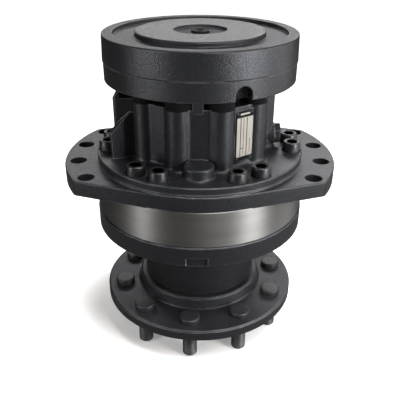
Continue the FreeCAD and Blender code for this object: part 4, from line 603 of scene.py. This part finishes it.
# %% Notch cutter
NOTCH_ANGLE, NOTCH_HALF, NOTCH_FOOT, NOTCH_TOP = math.radians(-66.3), 10.0, 113.5, 131.0
NOTCH_FLOOR, NOTCH_MOUTH, CROWN_SHARE, CROWN_SEGMENTS = 99.0, 114.0, 0.98, 14
notch_shape = bmesh.new()
notch_corners = rectangle(notch_shape, (0, (NOTCH_FOOT + NOTCH_TOP) / 2),
                          (2 * NOTCH_HALF, NOTCH_TOP - NOTCH_FOOT), NOTCH_FLOOR)
upper_corners = [v for v in notch_corners if v.co.y > (NOTCH_TOP - 1) * MM]
bmesh.ops.bevel(notch_shape, geom=upper_corners, offset=NOTCH_HALF * CROWN_SHARE * MM,
                segments=CROWN_SEGMENTS, profile=0.5, material=-1, affect="VERTICES")
push_out(notch_shape, notch_shape.faces[:], NOTCH_MOUTH - NOTCH_FLOOR)
bmesh.ops.recalc_face_normals(notch_shape, faces=notch_shape.faces)
facing, along = math.cos(NOTCH_ANGLE), math.sin(NOTCH_ANGLE)
to_notch = Matrix(((-along, 0, facing, 0), (facing, 0, along, 0), (0, 1, 0, 0), (0, 0, 0, 1)))
bmesh.ops.transform(notch_shape, matrix=to_notch, verts=notch_shape.verts)
cutter = bpy.data.objects.new("notch_cutter", to_mesh(notch_shape, "notch_cutter"))
bpy.context.scene.collection.objects.link(cutter)
print("cutter from", NOTCH_FLOOR, "to", NOTCH_MOUTH, "mm off the axis")

# %% Deep notch
merged_shape = bmesh.new()
merged_shape.from_mesh(nodes["brake_housing"].data)
bmesh.ops.remove_doubles(merged_shape, verts=merged_shape.verts, dist=1e-6)
notched = bpy.data.objects.new("notched_housing", to_mesh(merged_shape, "merged_housing"))
bpy.context.scene.collection.objects.link(notched)
cut = notched.modifiers.new("notch", "BOOLEAN")
cut.operation = "DIFFERENCE"
cut.solver = "EXACT"
cut.object = cutter
notched_mesh = bpy.data.meshes.new_from_object(notched.evaluated_get(bpy.context.evaluated_depsgraph_get()))
bpy.data.objects.remove(notched)
bpy.data.objects.remove(cutter)
notched_mesh.materials.clear()
brake_shell = new_piece("notched_brake_housing", notched_mesh, casting_paint, "case", "painted_casting")
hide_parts("brake_housing")

# %% [markdown]
# The cut leaves long triangles on the round wall, and their averaged normals would show as smudges. The wall
# could be remeshed, but it is simpler to give every corner on it the true normal of a round wall, which
# points straight out from the axis. A face belongs to the wall if it faces outwards and lies far enough out.

# %% Round wall normals
WALL_INSIDE, WALL_AGREEMENT = 108.0, 0.97
shell_mesh = brake_shell.data
corner_normals = [tuple(corner.vector) for corner in shell_mesh.corner_normals]
round_corners = 0
for face in shell_mesh.polygons:
    away = Vector((face.center.x, face.center.y, 0)).normalized()
    if face.normal.dot(away) > WALL_AGREEMENT and face.center.xy.length > WALL_INSIDE * MM:
        for corner in face.loop_indices:
            point = shell_mesh.vertices[shell_mesh.loops[corner].vertex_index].co
            corner_normals[corner] = (point.x / point.xy.length, point.y / point.xy.length, 0.0)
            round_corners += 1
shell_mesh.normals_split_custom_set(corner_normals)
print("corners on the round wall:", round_corners, "of", len(corner_normals))

# %% [markdown]
# ## The joint below the brake
# Where the bosses of the brake housing stand on the columns, a gasket sits in the joint, and the groove at
# its chamfered edges shows as a thin dark line of shade. A line of dark paint would need a mask, and a ring
# is as
# easy: a flat black ring on each column, a hair wider than the column, with its outer edges broken. It is the
# gasket, and it also stands in for the shade of the groove as painted shade.

# %% Gaskets
SHADE_GASKET_CIRCLE, SHADE_GASKET_LEVEL, SHADE_GASKET_COUNT, SHADE_GASKET_SEGMENTS = 75.2, 98.9, 10, 64
COLUMN_RADIUS, SHADE_GASKET_INWARDS, SHADE_GASKET_OUTWARDS, SHADE_GASKET_HALF, SHADE_GASKET_BREAK = 14.0, 3.0, 0.25, 1.0, 0.2
shade_gasket_inside, shade_gasket_outside = COLUMN_RADIUS - SHADE_GASKET_INWARDS, COLUMN_RADIUS + SHADE_GASKET_OUTWARDS
shade_gasket_outline = [
    (shade_gasket_inside, SHADE_GASKET_HALF), (shade_gasket_outside - SHADE_GASKET_BREAK, SHADE_GASKET_HALF),
    (shade_gasket_outside, SHADE_GASKET_HALF - SHADE_GASKET_BREAK), (shade_gasket_outside, SHADE_GASKET_BREAK - SHADE_GASKET_HALF),
    (shade_gasket_outside - SHADE_GASKET_BREAK, -SHADE_GASKET_HALF), (shade_gasket_inside, -SHADE_GASKET_HALF),
    (shade_gasket_inside, SHADE_GASKET_HALF)]
unit_gasket_and_shade = to_mesh(turned_bmesh(shade_gasket_outline, SHADE_GASKET_SEGMENTS), "unit_gasket_and_shade")
shade_gasket_places = [on_circle(SHADE_GASKET_CIRCLE, 360 / SHADE_GASKET_COUNT * k, SHADE_GASKET_LEVEL) for k in range(SHADE_GASKET_COUNT)]
# Painted shade: these black rings stand in for the shade in the joint's groove, as well as for the gasket.
new_piece("column_gaskets_and_joint_shade", placed_copies(unit_gasket_and_shade, shade_gasket_places, "column_gaskets_and_joint_shade"), seal_rubber,
          "case", "seal_rubber")

# %% [markdown]
# ## The cover's plug
# A hexagon socket plug closes the filling hole in the middle of the cover. Its head has a rounded rim and
# a deep socket, so it is made by the same function as the screws, with its own outline. It looks duller and
# blacker than the screws, so its finish is rough, like soot.

# %% Cover plug
PLUG_SEAT, PLUG_HEIGHT, PLUG_RADIUS, PLUG_FOOT, PLUG_SEGMENTS = 164.4, 2.8, 10.4, 0.3, 48
PLUG_THREAD, PLUG_TIP, PLUG_LENGTH = 7.9, 1.0, 14.0
PLUG_RIM = ((0, 0.8), (0.25, 0.3), (0.9, 0))
PLUG_MOUTH, PLUG_SOCKET_RIM, PLUG_FLATS, PLUG_DEPTH = 6.2, ((0, 0), (0.5, 0.3)), 8.0, 6.0
plug_foot, plug_top = PLUG_SEAT - PLUG_LENGTH, PLUG_SEAT + PLUG_HEIGHT
plug_outline = [
    (0, plug_foot), (PLUG_THREAD - PLUG_TIP, plug_foot), (PLUG_THREAD, plug_foot + PLUG_TIP),
    (PLUG_THREAD, PLUG_SEAT), (PLUG_RADIUS - PLUG_FOOT, PLUG_SEAT), (PLUG_RADIUS, PLUG_SEAT + PLUG_FOOT)]
plug_outline += stepped_rim(PLUG_RADIUS, plug_top, PLUG_RIM)
plug_outline += stepped_rim(PLUG_MOUTH, plug_top, PLUG_SOCKET_RIM)
plug_shape = socket_head(plug_outline, PLUG_FLATS, PLUG_DEPTH, PLUG_SEGMENTS)
plug_black = build_finish(
    "sooty_plug_black", dark=(0.004, 0.004, 0.0045), light=(0.012, 0.012, 0.013), rub_and_highlight=(0.25, 0.25, 0.25),
    rough=(0.55, 0.75), grain=(900.0, 260.0, 0.4), bump=(0.8, 0.0006), specular=0.2, radius=0.0007)
cover_plug = new_piece("filler_plug", to_mesh(plug_shape, "filler_plug"), plug_black, "case",
                       "black_fastener")
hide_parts("cover_plug")

# %% [markdown]
# ## The drain plug
# A hexagon plug stands out of the right column. A thin round collar seals against the casting, and the
# hexagon behind it has its outer corners turned off, as forged plugs have. The hexagon could be cut from a
# round bar as in the workshop. Extruding it from a six-sided circle and bevelling its rim is shorter, and
# the collar and the shank are spun.

# %% Drain plug
DRAIN_FACE, DRAIN_LEVEL, DRAIN_FLATS, DRAIN_HEIGHT, DRAIN_ROUND = 90.2, 44.5, 22.0, 7.5, 1.1
DRAIN_THREAD, DRAIN_LENGTH, DRAIN_SEGMENTS = 7.9, 12.0, 64
COLLAR_RADIUS, COLLAR_HEIGHT, COLLAR_RIM, HEXAGON_FOOT = 12.5, 1.8, ((0, 0.6), (0.4, 0.2), (1.7, 0)), 1.7
collar_outline = [(0, -DRAIN_LENGTH), (DRAIN_THREAD - 0.9, -DRAIN_LENGTH), (DRAIN_THREAD, 1 - DRAIN_LENGTH),
                  (DRAIN_THREAD, 0), (COLLAR_RADIUS - 0.2, 0), (COLLAR_RADIUS, 0.3)]
collar_outline += stepped_rim(COLLAR_RADIUS, COLLAR_HEIGHT, COLLAR_RIM) + [(0, COLLAR_HEIGHT)]
drain_shape = turned_bmesh(collar_outline, DRAIN_SEGMENTS)
corner_radius = DRAIN_FLATS / 2 / math.cos(math.pi / 6) * MM
hexagon_corners = bmesh.ops.create_circle(
    drain_shape, segments=6, radius=corner_radius, cap_ends=True,
    matrix=Matrix.Translation((0, 0, HEXAGON_FOOT * MM)))["verts"]
hexagon_crown = push_out(drain_shape, hexagon_corners[0].link_faces[:], DRAIN_HEIGHT - HEXAGON_FOOT)
bmesh.ops.bevel(drain_shape, geom=ring_edges(hexagon_crown), offset=DRAIN_ROUND * MM, segments=3,
                profile=0.5, material=-1, affect="EDGES")
bmesh.ops.recalc_face_normals(drain_shape, faces=drain_shape.faces)
to_column = Matrix.Translation((DRAIN_FACE * MM, 0, DRAIN_LEVEL * MM))
lying = Matrix.Rotation(math.pi / 2, 4, "Y") @ Matrix.Rotation(math.pi / 2, 4, "Z")
bmesh.ops.transform(drain_shape, matrix=to_column @ lying, verts=drain_shape.verts)
drain_plug = new_piece("hexagon_drain_plug", to_mesh(drain_shape, "hexagon_drain_plug"), oxide_steel, "case",
                       "black_fastener")
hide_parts("drain_plug")

# %% [markdown]
# ## The name plate
# The plate is thin sheet on a flat pad of the casting. It has a black rim with four rivets and a bare
# champagne field with ruled lines, where a maker would stamp the numbers. A picture of a plate would look
# flat from the side, so it is built of sheets. They are made lying flat in plate coordinates, across, up and
# out, and then moved to the pad together.

# %% Plate coordinates and frame
PLATE_ANGLE, PLATE_OUT, PLATE_SHIFT, PLATE_LEVEL = math.radians(-54), 81.55, 0.9, 65.4
PLATE_WIDTH, PLATE_HEIGHT, PLATE_THICKNESS = 24.0, 57.0, 1.0
PLATE_CORNER, PLATE_BREAK = 1.6, 0.2
RIM_TOP, FIELD_TOP = PLATE_THICKNESS - 0.3, PLATE_THICKNESS - 0.1
outward = Vector((math.cos(PLATE_ANGLE), math.sin(PLATE_ANGLE), 0))
across = Vector((-outward.y, outward.x, 0))
plate_place = Matrix((
    (across.x, 0, outward.x, (outward.x * PLATE_OUT + across.x * PLATE_SHIFT) * MM),
    (across.y, 0, outward.y, (outward.y * PLATE_OUT + across.y * PLATE_SHIFT) * MM),
    (0, 1, 0, PLATE_LEVEL * MM), (0, 0, 0, 1)))


def sheet(shape, centre, size, foot, top, corner=0.0, edge=0.0):
    """A flat sheet in plate coordinates, with rounded corners and a broken front edge, in millimetres."""
    earlier = set(shape.faces)
    flat = rectangle(shape, centre, size, foot)
    if corner:
        bmesh.ops.bevel(shape, geom=flat, offset=corner * MM, segments=5, profile=0.5, material=-1,
                        affect="VERTICES")
    front = push_out(shape, [face for face in shape.faces if face not in earlier], top - foot)
    if edge:
        bmesh.ops.bevel(shape, geom=ring_edges(front), offset=edge * MM, segments=2, profile=0.5, material=-1,
                        affect="EDGES")


def on_plate(shape, name, finish):
    """Moves a shape from plate coordinates to the pad and links it."""
    bmesh.ops.recalc_face_normals(shape, faces=shape.faces)
    bmesh.ops.transform(shape, matrix=plate_place, verts=shape.verts)
    return new_piece(name, to_mesh(shape, name), finish, "case", "plate_metal")


rim_shape = bmesh.new()
sheet(rim_shape, (0, 0), (PLATE_WIDTH, PLATE_HEIGHT), 0, RIM_TOP, corner=PLATE_CORNER, edge=PLATE_BREAK)
plate_rim = on_plate(rim_shape, "plate_rim", seal_rubber)
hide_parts("name_plate")

# %% [markdown]
# The field is a second, smaller sheet on the rim, with a narrow strip above it. Its colour is a warm, pale
# metal, clouded by a soft grain. Paint could draw the ruled lines, but hair-thin raised bars stay crisp from
# near. The rivets are spheres pressed flat.

# %% Plate field, lines and rivets
FIELD_SHEETS = (((0.45, -1.2), (22.4, 45.6), 0.8), ((0.5, 25.4), (13.4, 2.0), 0.6))
RULED_LINES = (((-5.6, -1.2), (0.9, 45.0)), ((-1.4, 0.6), (0.6, 41.0)), ((3.2, -1.2), (0.9, 45.0)),
               ((-3.5, -14.0), (4.2, 0.8)), ((7.6, -12.0), (0.5, 16.0)))
RIVET_ACROSS, RIVET_UP, RIVET_OUT = 9.6, 26.4, PLATE_THICKNESS - 0.35
RIVET_RADIUS, RIVET_FLATNESS = 1.25, 0.28
champagne = build_finish(
    "champagne_plate_metal", dark=(0.31, 0.288, 0.255), light=(0.53, 0.493, 0.444), rub_and_highlight=(0.5, 0.46, 0.41),
    rough=(0.34, 0.55), grain=(420.0, 90.0, 0.5), bump=(0.5, 0.0004), metallic=0.6, radius=0.0002)
field_shape = bmesh.new()
for centre, size, corner in FIELD_SHEETS:
    sheet(field_shape, centre, size, RIM_TOP, FIELD_TOP, corner=corner)
on_plate(field_shape, "plate_field", champagne)

line_shape = bmesh.new()
for centre, size in RULED_LINES:
    sheet(line_shape, centre, size, FIELD_TOP, PLATE_THICKNESS)
on_plate(line_shape, "plate_lines", seal_rubber)

rivet_shape = bmesh.new()
flattened = Matrix.Diagonal((1, 1, RIVET_FLATNESS, 1))
for side_x in (-1, 1):
    for side_y in (-1, 1):
        dome = bmesh.ops.create_uvsphere(rivet_shape, u_segments=20, v_segments=10,
                                         radius=RIVET_RADIUS * MM)["verts"]
        spot = Matrix.Translation((side_x * RIVET_ACROSS * MM, side_y * RIVET_UP * MM, RIVET_OUT * MM))
        bmesh.ops.transform(rivet_shape, matrix=spot @ flattened, verts=dome)
on_plate(rivet_shape, "plate_rivets", oxide_steel)

# %% [markdown]
# ## The floor
# The photograph has a white ground with only a soft shadow round the studs. A plain white floor would throw
# light up onto the motor, whose black sides show that little came from there. So a wide plane carries the
# shadow, and only the camera sees it white: it glows there, except in a soft patch under the motor, where
# the real shadow has to show. For every other ray it is a dark grey.

# %% Floor
FLOOR_LEVEL, FLOOR_SIZE = (STUD_FLANGE_TOP - STUD_LENGTH) * MM, 14.0
floor_shape = bmesh.new()
bmesh.ops.create_grid(floor_shape, x_segments=1, y_segments=1, size=FLOOR_SIZE / 2,
                      matrix=Matrix.Translation((0, 0, FLOOR_LEVEL)))
floor_mesh = to_mesh(floor_shape, "floor")
floor = bpy.data.objects.new("floor", floor_mesh)
bpy.context.scene.collection.objects.link(floor)
print("floor at", round(FLOOR_LEVEL / MM, 1), "mm")

# %% White ground
GROUND_SHOWN, GROUND_LIT = (0.86, 0.825, 0.805, 1), (0.13, 0.128, 0.126, 1)
SHADE_CENTRE, SHADE_REACH = (-0.030, 0.0, FLOOR_LEVEL), (0.155, 0.135, 1.0)
SHADE_START, SHADE_END, SHADE_GLOW = 0.7, 1.15, 0.25
ground = bpy.data.materials.new("white_ground")
ground.use_nodes = True
ground_tree = ground.node_tree
ground_shader = ground_tree.nodes["Principled BSDF"]
ground_shader.inputs["Roughness"].default_value = 0.9
ground_shader.inputs["Specular IOR Level"].default_value = 0.1
ground_ray = add_node(ground_tree, "LightPath")
ground_colour = add_node(ground_tree, "Mix", {
    "Factor": ground_ray.outputs["Is Camera Ray"], "A": GROUND_LIT, "B": GROUND_SHOWN}, data_type="RGBA")
ground_place = add_node(ground_tree, "TexCoord")
shade_place = add_node(ground_tree, "Mapping", {
    "Vector": ground_place.outputs["Object"], "Location": SHADE_CENTRE, "Scale": SHADE_REACH},
    vector_type="TEXTURE")
shade_distance = add_node(ground_tree, "VectorMath", {0: shade_place.outputs["Vector"]}, operation="LENGTH")
glow = add_node(ground_tree, "MapRange", {
    "Value": shade_distance.outputs["Value"], "From Min": SHADE_START, "From Max": SHADE_END,
    "To Min": SHADE_GLOW, "To Max": 1.0}, interpolation_type="SMOOTHSTEP")
shown_glow = add_node(ground_tree, "Math", {
    0: ground_ray.outputs["Is Camera Ray"], 1: glow.outputs["Result"]}, operation="MULTIPLY")
ground_shader.inputs["Emission Color"].default_value = (1, 1, 1, 1)
ground_tree.links.new(ground_colour.outputs["Result"], ground_shader.inputs["Base Color"])
ground_tree.links.new(shown_glow.outputs["Value"], ground_shader.inputs["Emission Strength"])
floor_mesh.materials.append(ground)
print("made", ground.name)

# %% [markdown]
# ## Light
# A black object is lit by what it mirrors, so bright surroundings would turn it grey. Each lamp here is a
# soft box that stands where one reflection asks for it. A broad box behind the motor and a smaller one at
# its right draw the top faces light. A strip at each front corner draws a soft upright streak on the round
# walls, the right one stronger. The strips stand low, because the camera looks down and the walls mirror
# what is near the ground. A low box at the right lights the walls' right ends, and a box high over the front
# lights what faces up and forwards. The world is white to the camera and nearly dark to everything else.

# %% Lamps
def soft_box(name, azimuth, distance, height, size, watts, aim=0.0):
    """A rectangular area lamp in metres that faces the axis at the level aim. Its azimuth is in degrees."""
    lamp_data = bpy.data.lights.new(name, "AREA")
    lamp_data.shape = "RECTANGLE"
    lamp_data.energy = watts
    lamp_data.size, lamp_data.size_y = size
    lamp = bpy.data.objects.new(name, lamp_data)
    bearing = math.radians(azimuth)
    lamp.location = (distance * math.cos(bearing), distance * math.sin(bearing), height)
    lamp.rotation_euler = (Vector((0, 0, aim)) - lamp.location).to_track_quat("-Z", "Y").to_euler()
    bpy.context.scene.collection.objects.link(lamp)


soft_box("back_box", 90, 1.5, 0.74, (2.0, 0.38), 9.4, aim=0.05)
soft_box("rear_right_box", 62, 1.3, 1.00, (0.6, 0.35), 4.0)
soft_box("right_strip", -38, 0.75, 0.16, (0.24, 0.50), 6.4)
soft_box("left_strip", -146, 0.75, 0.16, (0.13, 0.50), 2.4)
soft_box("side_box", 8, 1.0, 0.10, (0.5, 0.7), 2.6)
soft_box("top_box", -60, 0.70, 1.35, (0.30, 0.30), 15.0)

# %% World
WORLD_FILL = 0.05
world = bpy.data.worlds.new("studio")
bpy.context.scene.world = world
world.use_nodes = True
world_tree = world.node_tree
background = world_tree.nodes["Background"]
background.inputs["Color"].default_value = (1, 1, 1, 1)
world_ray = add_node(world_tree, "LightPath")
fill = add_node(world_tree, "MapRange", {
    "Value": world_ray.outputs["Is Camera Ray"], "To Min": WORLD_FILL, "To Max": 1.0})
world_tree.links.new(fill.outputs["Result"], background.inputs["Strength"])
print("world strength off camera:", WORLD_FILL)
